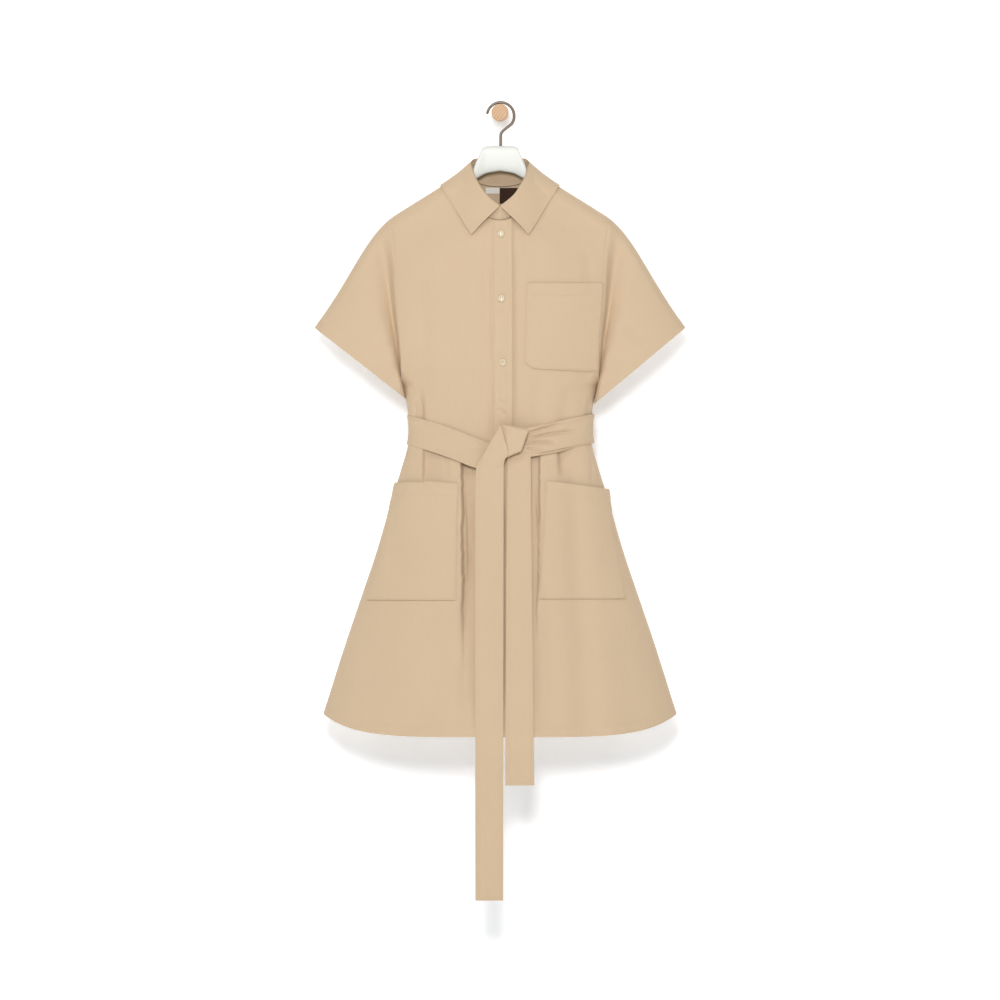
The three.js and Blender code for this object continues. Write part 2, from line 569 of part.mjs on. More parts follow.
function buttonGeometry() {
  const profile = [[0, 0], [BUTTON.radius * 0.8, 0], [BUTTON.radius, 0.9], [BUTTON.radius, 1.8],
    [BUTTON.radius * 0.88, BUTTON.rim], [BUTTON.radius * 0.62, BUTTON.dish], [0, BUTTON.dish]];
  const disc = new THREE.LatheGeometry(profile.map(([x, y]) => new THREE.Vector2(x, y)), 16);
  let solid = toManifold(disc);
  for (const [sx, sz] of [[-1, -1], [1, -1], [-1, 1], [1, 1]]) {
    const hole = new THREE.CylinderGeometry(BUTTON.hole, BUTTON.hole, 8, 5);
    hole.translate(sx * BUTTON.holePitch, 0, sz * BUTTON.holePitch);
    solid = solid.subtract(toManifold(hole));
  }
  return fromManifold(solid);
}
BUTTONS.forEach((place, k) => {
  const geometry = buttonGeometry();
  const n = bodyNormal(-1, place.x, place.z);
  geometry.applyQuaternion(new THREE.Quaternion().setFromUnitVectors(new THREE.Vector3(0, 1, 0), n));
  const level = CLOTH / 2 + LAY_GAP + 0.2 + DOUBLE + LAY_GAP;
  const seat = bodyPoint(-1, place.x, place.z).addScaledVector(n, level);
  geometry.translate(seat.x, seat.y, seat.z);
  add(`button_${k + 1}`, geometry, 0xe9dcc5, 0.4);
});

// Belt: a band round the waist that dips to the knot, the knot, and two hanging ends
const BELT = { width: 47, backZ: -503 };
const BELT_LINE = [            // height of the band's middle across the front
  { x: -148, z: -508.5 }, { x: -105, z: -520 }, { x: -70, z: -532 }, { x: -38, z: -545 },
  { x: -10, z: -553 }, { x: 14, z: -541 }, { x: 33, z: -531.5 }, { x: 50, z: -527.5 },
  { x: 80, z: -521.5 }, { x: 105, z: -515.5 }, { x: 148, z: -506 },
];
function beltHeight(angle) {
  const across = Math.sin(angle);
  if (Math.cos(angle) > 0) return column(BELT_LINE, 'x', 'z', 147 * across);
  const sideZ = column(BELT_LINE, 'x', 'z', 147 * Math.sign(across));
  return mix(sideZ, BELT.backZ, Math.cos(angle) ** 2);
}
const beltLift = (angle) => 2.2 + 2.6 * Math.max(0, Math.cos(angle)) ** 6;
function beltPoint(angle, up) {
  const z = beltHeight(angle) + up;
  const side = Math.cos(angle) > 0 ? -1 : 1;
  const x = halfWidth(z) * Math.sin(angle);
  const crown = Math.max(0, 1 - Math.abs(Math.sin(angle)) ** CROWN) ** (1 / column(BODY, 'z', 'round', z));
  const reach = column(BODY, 'z', side < 0 ? 'front' : 'back', z) * crown;
  return new THREE.Vector3(x, HANG_Y + side * reach, z);
}
function beltBand() {
  const around = 48;
  const rows = [-0.5, -0.17, 0.17, 0.5].map((share) => steps(around).slice(0, around).map((u) => {
    const angle = u * 2 * Math.PI;
    const p = beltPoint(angle, share * BELT.width);
    const n = new THREE.Vector3(Math.sin(angle), -Math.cos(angle), 0).normalize();
    return p.addScaledVector(n, beltLift(angle) + BELT_WALL / 2);
  }));
  return wall(rows, BELT_WALL, { ring: true });
}
addCloth('belt_band', beltBand());

// Outer face of the band in front of a point (x, z)
function bandFace(x, z) {
  const angle = Math.asin(x / halfWidth(z));
  const up = clamp(z - beltHeight(angle), -BELT.width / 2, BELT.width / 2);
  return beltPoint(angle, up).y - beltLift(angle) - BELT_WALL;
}
const outermost = (places) => Math.min(...places.map(([x, z]) => bandFace(x, z)));
const KNOT = {
  outline: [{ x: 1.5, z: -499 }, { x: 45, z: -509 }, { x: 32.5, z: -542 }, { x: 3.5, z: -555 }],
  thick: 12,
  soft: 3.5,
};
KNOT.back = outermost(KNOT.outline.map((p) => [p.x, p.z])) - LAY_GAP;
// A rounded four-sided wrap: rings of the outline drawn in towards the front and the back
function beltKnot() {
  const total = KNOT.outline.reduce((sum, p) => ({ x: sum.x + p.x, z: sum.z + p.z }), { x: 0, z: 0 });
  const centre = { x: total.x / KNOT.outline.length, z: total.z / KNOT.outline.length };
  const perSide = 4;
  const ring = (y, inset) => KNOT.outline.flatMap((p, k) => {
    const next = KNOT.outline[(k + 1) % 4];
    return steps(perSide).slice(0, perSide).map((u) => {
      const x = mix(p.x, next.x, u);
      const z = mix(p.z, next.z, u);
      const reach = Math.hypot(x - centre.x, z - centre.z);
      const share = 1 - (inset + 0.8 * Math.abs(u - 0.5)) / reach;
      return new THREE.Vector3(mix(centre.x, x, share), y, mix(centre.z, z, share));
    });
  });
  const levels = [[0, KNOT.soft], [0.12, 1.2], [0.4, 0], [0.75, 0.3], [0.93, 1.6], [1, KNOT.soft + 1]];
  const rings = levels.map(([share, inset]) => ring(KNOT.back - KNOT.thick * share, inset));
  const positions = rings.flat().flatMap((p) => p.toArray());
  const count = perSide * 4;
  const indices = [];
  for (let i = 0; i < rings.length - 1; i += 1) {
    for (let j = 0; j < count; j += 1) {
      const k = (j + 1) % count;
      const [a, b, c, d] = [i * count + j, i * count + k, (i + 1) * count + k, (i + 1) * count + j];
      indices.push(a, c, b, a, d, c);
    }
  }
  const caps = [[0, KNOT.back, 1], [rings.length - 1, KNOT.back - KNOT.thick, -1]];
  for (const [i, y, turn] of caps) {
    const hub = positions.length / 3;
    positions.push(centre.x, y, centre.z);
    for (let j = 0; j < count; j += 1) {
      const [a, b] = [i * count + j, i * count + ((j + 1) % count)];
      indices.push(...(turn > 0 ? [hub, a, b] : [hub, b, a]));
    }
  }
  const geometry = new THREE.BufferGeometry();
  geometry.setAttribute('position', new THREE.Float32BufferAttribute(positions, 3));
  geometry.setIndex(indices);
  return geometry;
}
addCloth('belt_knot', beltKnot());

// A hanging end leans out from the knot to the skirt's hem, and hangs straight below it.
const TAIL_HEM_Y = HANG_Y - 89.2;
function tailY(startZ, startY, z) {
  return z < HEM_Z ? TAIL_HEM_Y : mix(startY, TAIL_HEM_Y, ((startZ - z) / (startZ - HEM_Z)) ** 0.8);
}
// Rows of the long end: each goes from the end's left edge to its right edge. It leaves the knot
// sideways, turns down in front of the band, and narrows a little towards its end.
const LONG_TAIL_TURN = [
  { lx: 0.6, lz: -500.5, rx: 2.4, rz: -553, out: 7.0 },
  { lx: -7, lz: -514, rx: 3.0, rz: -556.5, out: 6.2 },
  { lx: -15, lz: -528, rx: 3.8, rz: -561, out: 4.6 },
  { lx: -27, lz: -549, rx: 4.8, rz: -566, out: 2.4 },
  { lx: -38, lz: -569.5, rx: 5.6, rz: -574, out: 1.5 },
];
const LONG_TAIL = { left: -40, right: 6, endLeft: -39.5, endRight: 1, topZ: -590, endZ: -1261, rows: 16 };
function longTail() {
  const cols = 3;
  const bandOut = outermost([[-38, -572], [-20, -574], [0, -574]]);
  const turnY = bandOut - LONG_TAIL_TURN[LONG_TAIL_TURN.length - 1].out;
  const rows = LONG_TAIL_TURN.map((row) => steps(cols).map((u) => new THREE.Vector3(
    mix(row.lx, row.rx, u), bandOut - row.out, mix(row.lz, row.rz, u),
  )));
  for (const v of steps(LONG_TAIL.rows)) {
    const z = mix(LONG_TAIL.topZ, LONG_TAIL.endZ, v);
    rows.push(steps(cols).map((u) => new THREE.Vector3(
      mix(mix(LONG_TAIL.left, LONG_TAIL.right, u), mix(LONG_TAIL.endLeft, LONG_TAIL.endRight, u), v),
      tailY(LONG_TAIL.topZ + 16, turnY, z), z,
    )));
  }
  return wall(rows.reverse(), BELT_WALL);
}
addCloth('belt_end_long', longTail());

const SHORT_TAIL = { left: 11, right: 53, endLeft: 12.5, endRight: 54, topZ: -549.5, endZ: -1077, rows: 14 };
function shortTail() {
  const startY = outermost([[11, -567], [20, -563], [32, -553], [53, -550]]) - LAY_GAP - BELT_WALL / 2;
  const rows = steps(SHORT_TAIL.rows).map((v) => {
    const z = mix(SHORT_TAIL.topZ, SHORT_TAIL.endZ, v);
    return steps(3).map((u) => new THREE.Vector3(
      mix(mix(SHORT_TAIL.left, SHORT_TAIL.right, u), mix(SHORT_TAIL.endLeft, SHORT_TAIL.endRight, u), v),
      tailY(SHORT_TAIL.topZ, startY, z),
      z + 8 * (1 - v) ** 3 * (u - 0.5),
    ));
  });
  return wall(rows.reverse(), BELT_WALL);
}
addCloth('belt_end_short', shortTail());

// Labels in the back of the neck, inside
function label(left, right, top, bottom, lift) {
  const thickness = 0.8;
  const rows = steps(2).map((v) => steps(4).map((u) => {
    const x = mix(left, right, u);
    const z = mix(bottom, top, v);
    return new THREE.Vector3(x, HANG_Y + depth(1, x, z) - CLOTH / 2 - LAY_GAP - thickness / 2 - lift, z);
  }));
  return wall(rows, thickness);
}
add('neck_label', label(-23, 23, -120.6, -130, 0), 0xf2efe9, 0.8);
add('size_label', label(-0.6, 29.5, -120.8, -146, 1.2), 0x2b1812, 0.7);

// Hanger: a deep neck with an arched underside, and two arms that carry the shoulders
const HANGER = [
  { x: 0, top: -54, bottom: -94, half: 8 },
  { x: 22, top: -54.2, bottom: -98, half: 8 },
  { x: 29, top: -57, bottom: -101.5, half: 8.5 },
  { x: 33, top: -68, bottom: -104, half: 9 },
  { x: 38, top: -79, bottom: -107, half: 9.5 },
  { x: 44, top: -92, bottom: -113, half: 9.5 },
  { x: 49, top: -99.5, bottom: -120, half: 9.5 },
  { x: 56, top: -102.5, bottom: -127, half: 10 },
  { x: 66, top: -105, bottom: -134, half: 12 },
  { x: 80, top: -112.1, bottom: -144, half: 14 },
  { x: 120, top: -137.1, bottom: -169, half: 15 },
  { x: 158, top: -160.9, bottom: -190, half: 15 },
  { x: 168, top: -168.6, bottom: -192, half: 13 },
  { x: 172, top: -175.5, bottom: -188, half: 8 },
];
function hangerBody() {
  const across = [...HANGER.slice(1).reverse().map((row) => ({ ...row, x: -row.x })), ...HANGER];
  const around = 12;
  const positions = [];
  for (const row of across) {
    for (let k = 0; k < around; k += 1) {
      const angle = (k / around) * 2 * Math.PI;
      const up = Math.sign(Math.cos(angle)) * Math.abs(Math.cos(angle)) ** 0.9;
      positions.push(row.x, HANG_Y - row.half * Math.sin(angle), mix(row.bottom, row.top, (up + 1) / 2));
    }
  }
  const indices = [];
  for (let i = 0; i < across.length - 1; i += 1) {
    for (let k = 0; k < around; k += 1) {
      const m = (k + 1) % around;
      const [a, b, c, d] = [i * around + k, i * around + m, (i + 1) * around + m, (i + 1) * around + k];
      indices.push(a, b, c, a, c, d);
    }
  }
  for (let k = 1; k < around - 1; k += 1) {
    const far = (across.length - 1) * around;
    indices.push(0, k + 1, k, far, far + k, far + k + 1);
  }
  const geometry = new THREE.BufferGeometry();
  geometry.setAttribute('position', new THREE.Float32BufferAttribute(positions, 3));
  geometry.setIndex(indices);
  return geometry;
}

const PEG = { radius: 13.5, length: 94, bevel: 1.2 };
const HOOK = {
  wire: 1.9, radius: 21, centreX: 1, seat: 22, freeAngle: 172, turnAngle: -36, neckX: 1, neckZ: -33.5,
};
const hookCentreZ = PEG.radius + 0.3 + HOOK.wire - HOOK.radius;
const hubTop = -54;

function hookPath() {
  const path = new THREE.CurvePath();
  const arc = [];
  for (const u of steps(18)) {
    const angle = THREE.MathUtils.degToRad(mix(HOOK.freeAngle, HOOK.turnAngle, u));
    const x = HOOK.centreX + HOOK.radius * Math.cos(angle);
    const z = hookCentreZ + HOOK.radius * Math.sin(angle);
    arc.push(new THREE.Vector3(x, HANG_Y, z));
  }
  const elbow = [new THREE.Vector3(HOOK.neckX + 3.4, HANG_Y, HOOK.neckZ + 3.2),
    new THREE.Vector3(HOOK.neckX + 0.5, HANG_Y, HOOK.neckZ - 1.2),
    new THREE.Vector3(HOOK.neckX, HANG_Y, HOOK.neckZ - 5)];
  path.add(new THREE.CatmullRomCurve3([...arc, ...elbow]));
  path.add(new THREE.LineCurve3(elbow[2], new THREE.Vector3(HOOK.neckX, HANG_Y, hubTop - HOOK.seat)));
  return path;
}
const wireSection = new THREE.Shape();
wireSection.absarc(0, 0, HOOK.wire, 0, Math.PI * 2);
const hookSweep = { extrudePath: hookPath(), steps: 34, curveSegments: 4 };
const hook = new THREE.ExtrudeGeometry(wireSection, hookSweep);
add('hanger_hook', fromManifold(toManifold(hook)), 0x8d857a, 0.35, 0.9);

const bore = new THREE.CylinderGeometry(HOOK.wire + 0.3, HOOK.wire + 0.3, HOOK.seat + 12, 16);
bore.rotateX(Math.PI / 2);
bore.translate(HOOK.neckX, HANG_Y, hubTop - (HOOK.seat + 0.4) + (HOOK.seat + 12) / 2);
add('hanger_body', fromManifold(toManifold(hangerBody()).subtract(toManifold(bore))), 0xf4f4f2, 0.35);

const pegProfile = [[0, 0], [PEG.radius, 0], [PEG.radius, PEG.length - PEG.bevel],
  [PEG.radius - PEG.bevel, PEG.length], [0, PEG.length]];
const peg = new THREE.LatheGeometry(pegProfile.map(([x, y]) => new THREE.Vector2(x, y)), 32);
peg.rotateX(Math.PI);          // the profile's axis now runs away from the wall, towards -Y
add('wall_peg', peg, 0xdfb98a, 0.6);

export default group;
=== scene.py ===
# %% [markdown]
# # A shirt dress on a hanger
# This lesson dresses a plain solid model of a cotton shirt dress in Blender. The solids give every
# piece its place and size. Here each one gets the thin cloth, the creases, the sewing and the finish
# of the real garment. Forms are worked out in millimetres and become metres when a mesh is made.

# %% Load the solid model
import math

import bmesh
import bpy
import numpy as np
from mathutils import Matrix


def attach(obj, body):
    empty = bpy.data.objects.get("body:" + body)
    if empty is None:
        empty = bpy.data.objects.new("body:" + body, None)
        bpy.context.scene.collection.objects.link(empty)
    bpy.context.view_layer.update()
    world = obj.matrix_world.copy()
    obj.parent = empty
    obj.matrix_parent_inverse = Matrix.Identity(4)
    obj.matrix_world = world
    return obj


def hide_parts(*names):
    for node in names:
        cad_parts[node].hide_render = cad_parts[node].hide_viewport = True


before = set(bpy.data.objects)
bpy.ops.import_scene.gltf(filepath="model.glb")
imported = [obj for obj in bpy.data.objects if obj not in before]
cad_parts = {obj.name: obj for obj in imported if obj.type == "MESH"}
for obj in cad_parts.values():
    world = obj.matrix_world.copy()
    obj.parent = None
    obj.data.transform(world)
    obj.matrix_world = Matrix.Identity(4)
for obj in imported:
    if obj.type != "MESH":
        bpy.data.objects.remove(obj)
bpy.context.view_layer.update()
MM = 0.001


def placed(name, data):
    """A new object with this data, in the scene."""
    made = bpy.data.objects.new(name, data)
    bpy.context.scene.collection.objects.link(made)
    return made


# %% [markdown]
# ## Camera, wall and light
# The dress was photographed square from the front with a long lens, so that near and far parts keep
# their true proportions. A camera forty metres away does the same. The wall is white and has one side
# only, so that the back of the dress can be seen through it. A strong softbox stands far in front,
# a little above the dress, and three weak ones stand above it and to both sides.

# %% Camera
SENSOR_WIDTH = 36
IMAGE_WIDTH = 1.6              # metres across the picture
CAMERA_DISTANCE = 40.0
VIEW_CENTRE_Z = -0.6208
CLOTH_FRONT_Y = -0.11

camera_data = bpy.data.cameras.new("camera")
camera_data.sensor_width = SENSOR_WIDTH
camera_data.lens = SENSOR_WIDTH * CAMERA_DISTANCE / IMAGE_WIDTH
camera_data.clip_end = 120
camera = placed("camera", camera_data)
camera.location = (0, CLOTH_FRONT_Y - CAMERA_DISTANCE, VIEW_CENTRE_Z)
camera.rotation_euler = (math.pi / 2, 0, 0)
bpy.context.scene.camera = camera
print("lens, mm:", round(camera_data.lens, 1))


# %% Colours and nodes
def linear(hex_colour):
    """An sRGB hex colour as the linear RGBA that the shader needs."""
    parts = [int(hex_colour[i : i + 2], 16) / 255 for i in (1, 3, 5)]
    return [c / 12.92 if c <= 0.04045 else ((c + 0.055) / 1.055) ** 2.4 for c in parts] + [1.0]


def node(tree, kind, links=None, values=None, **settings):
    """Adds one node with its settings, plain values and incoming links."""
    made = tree.nodes.new(kind)
    for key, value in settings.items():
        setattr(made, key, value)
    for key, value in (values or {}).items():
        made.inputs[key].default_value = value
    for key, source in (links or {}).items():
        tree.links.new(source, made.inputs[key])
    return made


def noise(tree, place, scale, detail=2.0):
    made = node(tree, "ShaderNodeTexNoise", {"Vector": place}, {"Scale": scale, "Detail": detail})
    return made.outputs["Fac"]


def tinted(colour, share):
    """A linear colour made lighter or darker by a share."""
    return [min(1, c * share) for c in colour[:3]] + [1]


def two_toned(tree, shader, share, first, second):
    """Mixes two linear colours by a share into the base colour."""
    shade = node(tree, "ShaderNodeMix", {0: share}, {6: first, 7: second}, data_type="RGBA")
    tree.links.new(shade.outputs[2], shader.inputs["Base Color"])


def bumped(tree, shader, layers):
    """Lays bumps over one another, each with its height, its strength and its depth in metres."""
    below = {}
    for height, strength, distance in layers:
        bump = node(tree, "ShaderNodeBump", {"Height": height, **below},
                    {"Strength": strength, "Distance": distance})
        below = {"Normal": bump.outputs[0]}
    tree.links.new(below["Normal"], shader.inputs["Normal"])


def finish_named(name, look):
    """A new material with a Principled surface, and the tree and shader to work on."""
    material = bpy.data.materials.new(name)
    material.use_nodes = True
    tree = material.node_tree
    tree.nodes.clear()
    shader = node(tree, "ShaderNodeBsdfPrincipled", values=look)
    node(tree, "ShaderNodeOutputMaterial", {"Surface": shader.outputs[0]})
    return material, tree, shader


print("linear value of a middle grey:", round(linear("#808080")[0], 3))


# %% Wall and floor
BACKDROP_GLOW = 0.27           # a backdrop is lit by lamps of its own, which keeps its shadows pale
GLOW_COLOUR = "#f3f8ff"        # cool lamps, against the warm light that the cloth throws on the wall


def stage_plane(name, corners, hex_colour, one_sided=False):
    mesh = bpy.data.meshes.new(name)
    mesh.from_pydata(corners, [], [(0, 1, 2, 3)])
    plane = placed(name, mesh)
    material, tree, shader = finish_named(name, {"Base Color": linear(hex_colour), "Roughness": 0.9})
    if one_sided:
        shader.inputs["Emission Color"].default_value = linear(GLOW_COLOUR)
        shader.inputs["Emission Strength"].default_value = BACKDROP_GLOW
        side = node(tree, "ShaderNodeNewGeometry")
        clear = node(tree, "ShaderNodeBsdfTransparent")
        both = node(tree, "ShaderNodeMixShader", {
            0: side.outputs["Backfacing"], 1: shader.outputs[0], 2: clear.outputs[0]})
        output = next(n for n in tree.nodes if n.type == "OUTPUT_MATERIAL")
        tree.links.new(both.outputs[0], output.inputs["Surface"])
    mesh.materials.append(material)


FLOOR_Z = -1.62
WALL_Y = 0.001
ROOM = 9.0
stage_plane("wall", [(-ROOM, WALL_Y, FLOOR_Z), (ROOM, WALL_Y, FLOOR_Z), (ROOM, WALL_Y, ROOM),
                     (-ROOM, WALL_Y, ROOM)], "#ffffff", one_sided=True)
stage_plane("floor", [(-ROOM, -2 * ROOM, FLOOR_Z), (ROOM, -2 * ROOM, FLOOR_Z), (ROOM, ROOM, FLOOR_Z),
                      (-ROOM, ROOM, FLOOR_Z)], "#f4f4f2")
print("room, m:", ROOM, "floor at", FLOOR_Z)


# %% Light
def softbox(name, place, aim, size, watts):
    data = bpy.data.lights.new(name, "AREA")
    data.shape = "DISK"
    data.size = size
    data.energy = watts
    lamp = placed(name, data)
    lamp.location = place
    away = np.array(place) - np.array(aim)
    lamp.rotation_euler = (math.atan2(math.hypot(away[0], away[1]), away[2]), 0,
                           math.atan2(away[0], -away[1]))


DRESS_MIDDLE = (0, -0.1, -0.6)
WORLD_STRENGTH = 0.12          # light from all round, which keeps the shadows from going black
softbox("top_light", (-0.15, -2.2, 1.7), DRESS_MIDDLE, 1.2, 15)
softbox("front_light", (-0.2, -4.6, 0.65), DRESS_MIDDLE, 1.0, 114)
softbox("left_light", (-2.4, -2.2, 0.9), DRESS_MIDDLE, 1.2, 13)
softbox("right_light", (2.4, -2.2, 0.9), DRESS_MIDDLE, 1.2, 12)
world = bpy.data.worlds.new("studio")
world.use_nodes = True
world.node_tree.nodes["Background"].inputs["Color"].default_value = (1, 1, 1, 1)
world.node_tree.nodes["Background"].inputs["Strength"].default_value = WORLD_STRENGTH
bpy.context.scene.world = world
bpy.context.scene.view_settings.view_transform = "Standard"
print("softboxes:", len(bpy.data.lights))

# %% [markdown]
# ## Cotton
# The dress is a firm plain-woven cotton in warm beige. Its threads are about 0.3 mm apart, too fine
# to show from a step away, so the weave is drawn with threads 0.8 mm apart. A scanned picture would
# repeat. Two crossed wave patterns, each bent a little by noise, do not. Cotton has no gloss, a little
# fuzz that lightens its edges, and a tone that drifts slightly along each thread.

# %% Cotton material
THREAD = 0.8 * MM              # drawn thread spacing, coarser than the real 0.3 mm
SLUB_LENGTH = 30 * MM          # how long a thicker stretch of thread is
WAVE_PERIOD = math.pi / 10     # a wave texture of scale 1 repeats after this many metres


def cotton(name, hex_colour):
    material, tree, shader = finish_named(name, {
        "Roughness": 0.82, "Specular IOR Level": 0.25, "Sheen Weight": 0.12, "Sheen Roughness": 0.45})
    uv = node(tree, "ShaderNodeUVMap", uv_map="cloth").outputs[0]
    place = node(tree, "ShaderNodeTexCoord").outputs["Object"]
    warp, weft = (node(tree, "ShaderNodeTexWave", {"Vector": uv},
                       {"Scale": WAVE_PERIOD / THREAD, "Distortion": 0.6, "Detail": 1.0},
                       bands_direction=way).outputs["Fac"] for way in "XY")
    weave = node(tree, "ShaderNodeMath", {0: warp, 1: weft}, operation="MULTIPLY").outputs[0]
    slub_place = node(tree, "ShaderNodeMapping", {"Vector": uv},
                      {"Scale": (1 / THREAD / 3, 1 / SLUB_LENGTH, 1)}).outputs[0]
    slub, cloud = noise(tree, slub_place, 1.0), noise(tree, place, 9.0, 3.0)
    both = node(tree, "ShaderNodeMath", {0: slub, 1: cloud}, operation="ADD").outputs[0]
    tint = node(tree, "ShaderNodeMath", {0: both}, {1: 0.5}, operation="MULTIPLY").outputs[0]
    shade = node(tree, "ShaderNodeValToRGB", {"Fac": tint})
    for element, at, share in zip(shade.color_ramp.elements, (0.35, 0.65), (0.98, 1.015)):
        element.position = at
        element.color = tinted(linear(hex_colour), share)
    tree.links.new(shade.outputs[0], shader.inputs["Base Color"])
    fuzz = noise(tree, uv, 1 / (4 * MM), 4.0)
    bumped(tree, shader, [(weave, 0.12, 0.15 * MM), (fuzz, 0.25, 0.25 * MM)])
    return material


CLOTH = cotton("beige_woven_cotton", "#ccb496")
print("materials:", len(bpy.data.materials))

# %% [markdown]
# ## The form of the body
# The cloth hangs from the hanger's plane and stands a few centimetres in front of it and behind it.
# A short table of half widths and depths, one row for each height, is the whole body. A smooth curve
# runs through its rows. A sculpted body would be harder to correct than a row of numbers, and the
# solids were made from the same table, so the cloth lies on them.

# %% Body table
HANG_Y = -80.0                 # plane of the hanger, in front of the wall
SEAM_GAP = 0.4
NECK_HALF = 56.0               # half the neck hole's width at the shoulder seams
SHOULDER_TOP = -60.5
SHOULDER_SLOPE = 0.625
SHOULDER_HALF = 172.0
RIDGE_RADIUS = 21.0            # how far the cloth stands out where it turns over the hanger
RIDGE_EASE = 130.0
FRONT_NECK_DROP = 78.0
BACK_NECK_DROP = 24.0
UNDERARM_Z = -440.0
WAIST_Z = -529.0
HEM_Z = -1000.0
CROWN = 2.4                    # how square the body's section is
HEM_RISE, HEM_CURVE = 37.0, 5  # the hem lifts by this much at the side seams

BODY_COLUMNS = ("z", "half", "front", "back", "arm_front", "arm_back", "round")
BODY_ROWS = [
    (-60, 172, 30, 24, 21, 21, 1.0),
    (-168, 172, 46, 34, 21, 21, 1.0),
    (-225, 167, 50, 39, 26, 25, 1.0),
    (-300, 165, 55, 43, 31, 29, 1.0),
    (-370, 160, 57, 44, 33, 31, 1.0),
    (-410, 158, 54, 42, 27, 26, 1.0),
    (-430, 157, 52, 41, 15, 15, 1.2),
    (-440, 156, 51, 40, 0, 0, 1.5),
    (-470, 149, 47, 38, 0, 0, 2.0),
    (-510, 145, 42, 35, 0, 0, 2.0),
    (-529, 147, 43, 36, 0, 0, 2.0),
    (-570, 158, 49, 39, 0, 0, 2.0),
    (-608, 170, 54, 42, 0, 0, 2.0),
    (-704, 198, 64, 48, 0, 0, 1.9),
    (-781, 224, 71, 53, 0, 0, 1.8),
    (-858, 250, 78, 57, 0, 0, 1.7),
    (-934, 274, 83, 60, 0, 0, 1.7),
    (-963, 283, 85, 61, 0, 0, 1.7),
    (-1000, 295, 87, 62, 0, 0, 1.7),
]
BODY = {key: np.array([row[k] for row in BODY_ROWS], float) for k, key in enumerate(BODY_COLUMNS)}
print("rows of the body table:", len(BODY_ROWS))


# %% Smooth curves
def smooth(t):
    t = np.clip(t, 0, 1)
    return t * t * (3 - 2 * t)


def mix(a, b, t):
    return a + (b - a) * t


def curve_through(places, values, at):
    """Smooth curve through a table's rows that never overshoots them."""
    places = np.asarray(places, float)
    values = np.asarray(values, float)
    if places[0] > places[-1]:
        places, values = places[::-1], values[::-1]
    gap = np.diff(places)
    slope = np.diff(values) / gap
    before, after = slope[:-1], slope[1:]
    agree = before * after > 0
    inner = np.where(agree, 2 * before * after / np.where(agree, before + after, 1), 0)
    tangent = np.concatenate([slope[:1], inner, slope[-1:]])
    at = np.clip(at, places[0], places[-1])
    k = np.clip(np.searchsorted(places, at) - 1, 0, len(gap) - 1)
    t = (at - places[k]) / gap[k]
    start = values[k] * (2 * t**3 - 3 * t**2 + 1) + tangent[k] * gap[k] * (t**3 - 2 * t**2 + t)
    end = values[k + 1] * (3 * t**2 - 2 * t**3) + tangent[k + 1] * gap[k] * (t**3 - t**2)
    return start + end


def body(key, z):
    return curve_through(BODY["z"], BODY[key], z)


def shoulder_z(x):
    return SHOULDER_TOP - SHOULDER_SLOPE * np.abs(x)


def neck_top(side, x):
    rise = np.sqrt(np.maximum(0, 1 - (x / NECK_HALF) ** 2))
    drop = FRONT_NECK_DROP if side < 0 else BACK_NECK_DROP
    return shoulder_z(np.maximum(NECK_HALF, np.abs(x))) - drop * rise


def hem_z(s):
    return HEM_Z + HEM_RISE * np.abs(s) ** HEM_CURVE


print("half the width of the waist, mm:", round(float(body("half", WAIST_Z)), 1))


# %% [markdown]
# ## Folds and creases
# The skirt's large folds start under the belt. A tuck drops off sharply at one edge and climbs back
# slowly, and a trough is even to both sides. Finer creases are short lines drawn where the
# garment has them: each has two ends, a bend, a width to either side and a depth. A negative depth
# makes a ridge.

# %% Fold tables
# kind, x at the waist and at the hem, width, ramp of a tuck or hem width of a trough, depth at the
# waist and at the hem, how far down it goes, and the way that a tuck's ramp runs
FRONT_FOLDS = [
    ("tuck", -124, -132, 5, 52, 9, 6, 84, 1),
    ("tuck", -64, -62, 6, 56, 13, 8, 380, 1),
    ("tuck", 67, 58, 5, 56, 7, 6, 360, -1),
    ("tuck", 90, 104, 5, 24, 9, 3, 62, 1),
    ("trough", 112, 138, 15, 26, 5, 7, 900, 0),
]
BACK_FOLDS = [
    ("tuck", -100, -122, 11, 50, 6, 4, 300, 1),
    ("trough", -34, -58, 16, 32, 4, 8, 900, 0),
    ("trough", 48, 86, 16, 30, 4, 7, 900, 0),
    ("tuck", 106, 130, 11, 46, 6, 4, 260, -1),
]
TUCK_WANDER = 0.7              # how far the edge of a tuck wanders to either side
FOLD_START = 22.0              # the folds reach their depth this far below the waist
print("large folds:", len(FRONT_FOLDS) + len(BACK_FOLDS))


# %% Depth of the large folds
def fold_depth(side, x, z):
    below = WAIST_Z - z
    down = np.clip(below / (WAIST_Z - HEM_Z), 0, 1)
    deep = np.zeros(np.broadcast(x, z).shape)
    folds = FRONT_FOLDS if side < 0 else BACK_FOLDS
    for kind, waist_x, hem_x, width, ramp, waist_deep, hem_deep, reach, way in folds:
        away = x - mix(waist_x, hem_x, down)
        fade = 1 - smooth((below / reach - 0.5) / 0.5)
        height = mix(waist_deep, hem_deep, down) * fade
        if kind == "trough":
            deep += height * np.exp(-((away / mix(width, ramp, down)) ** 2))
        else:
            away = away + TUCK_WANDER * (np.sin(z / 19.0) + np.sin(z / 7.3 + 1) * np.sin(z / 31.0)
                                         + 0.7 * np.sin(z / 4.1 + 2 * np.sin(z / 23.0)))
            past = away * way
            climb = 1 - smooth((past - width) / ramp)
            deep += height * smooth(past / width) * climb
    return deep * smooth(below / FOLD_START)


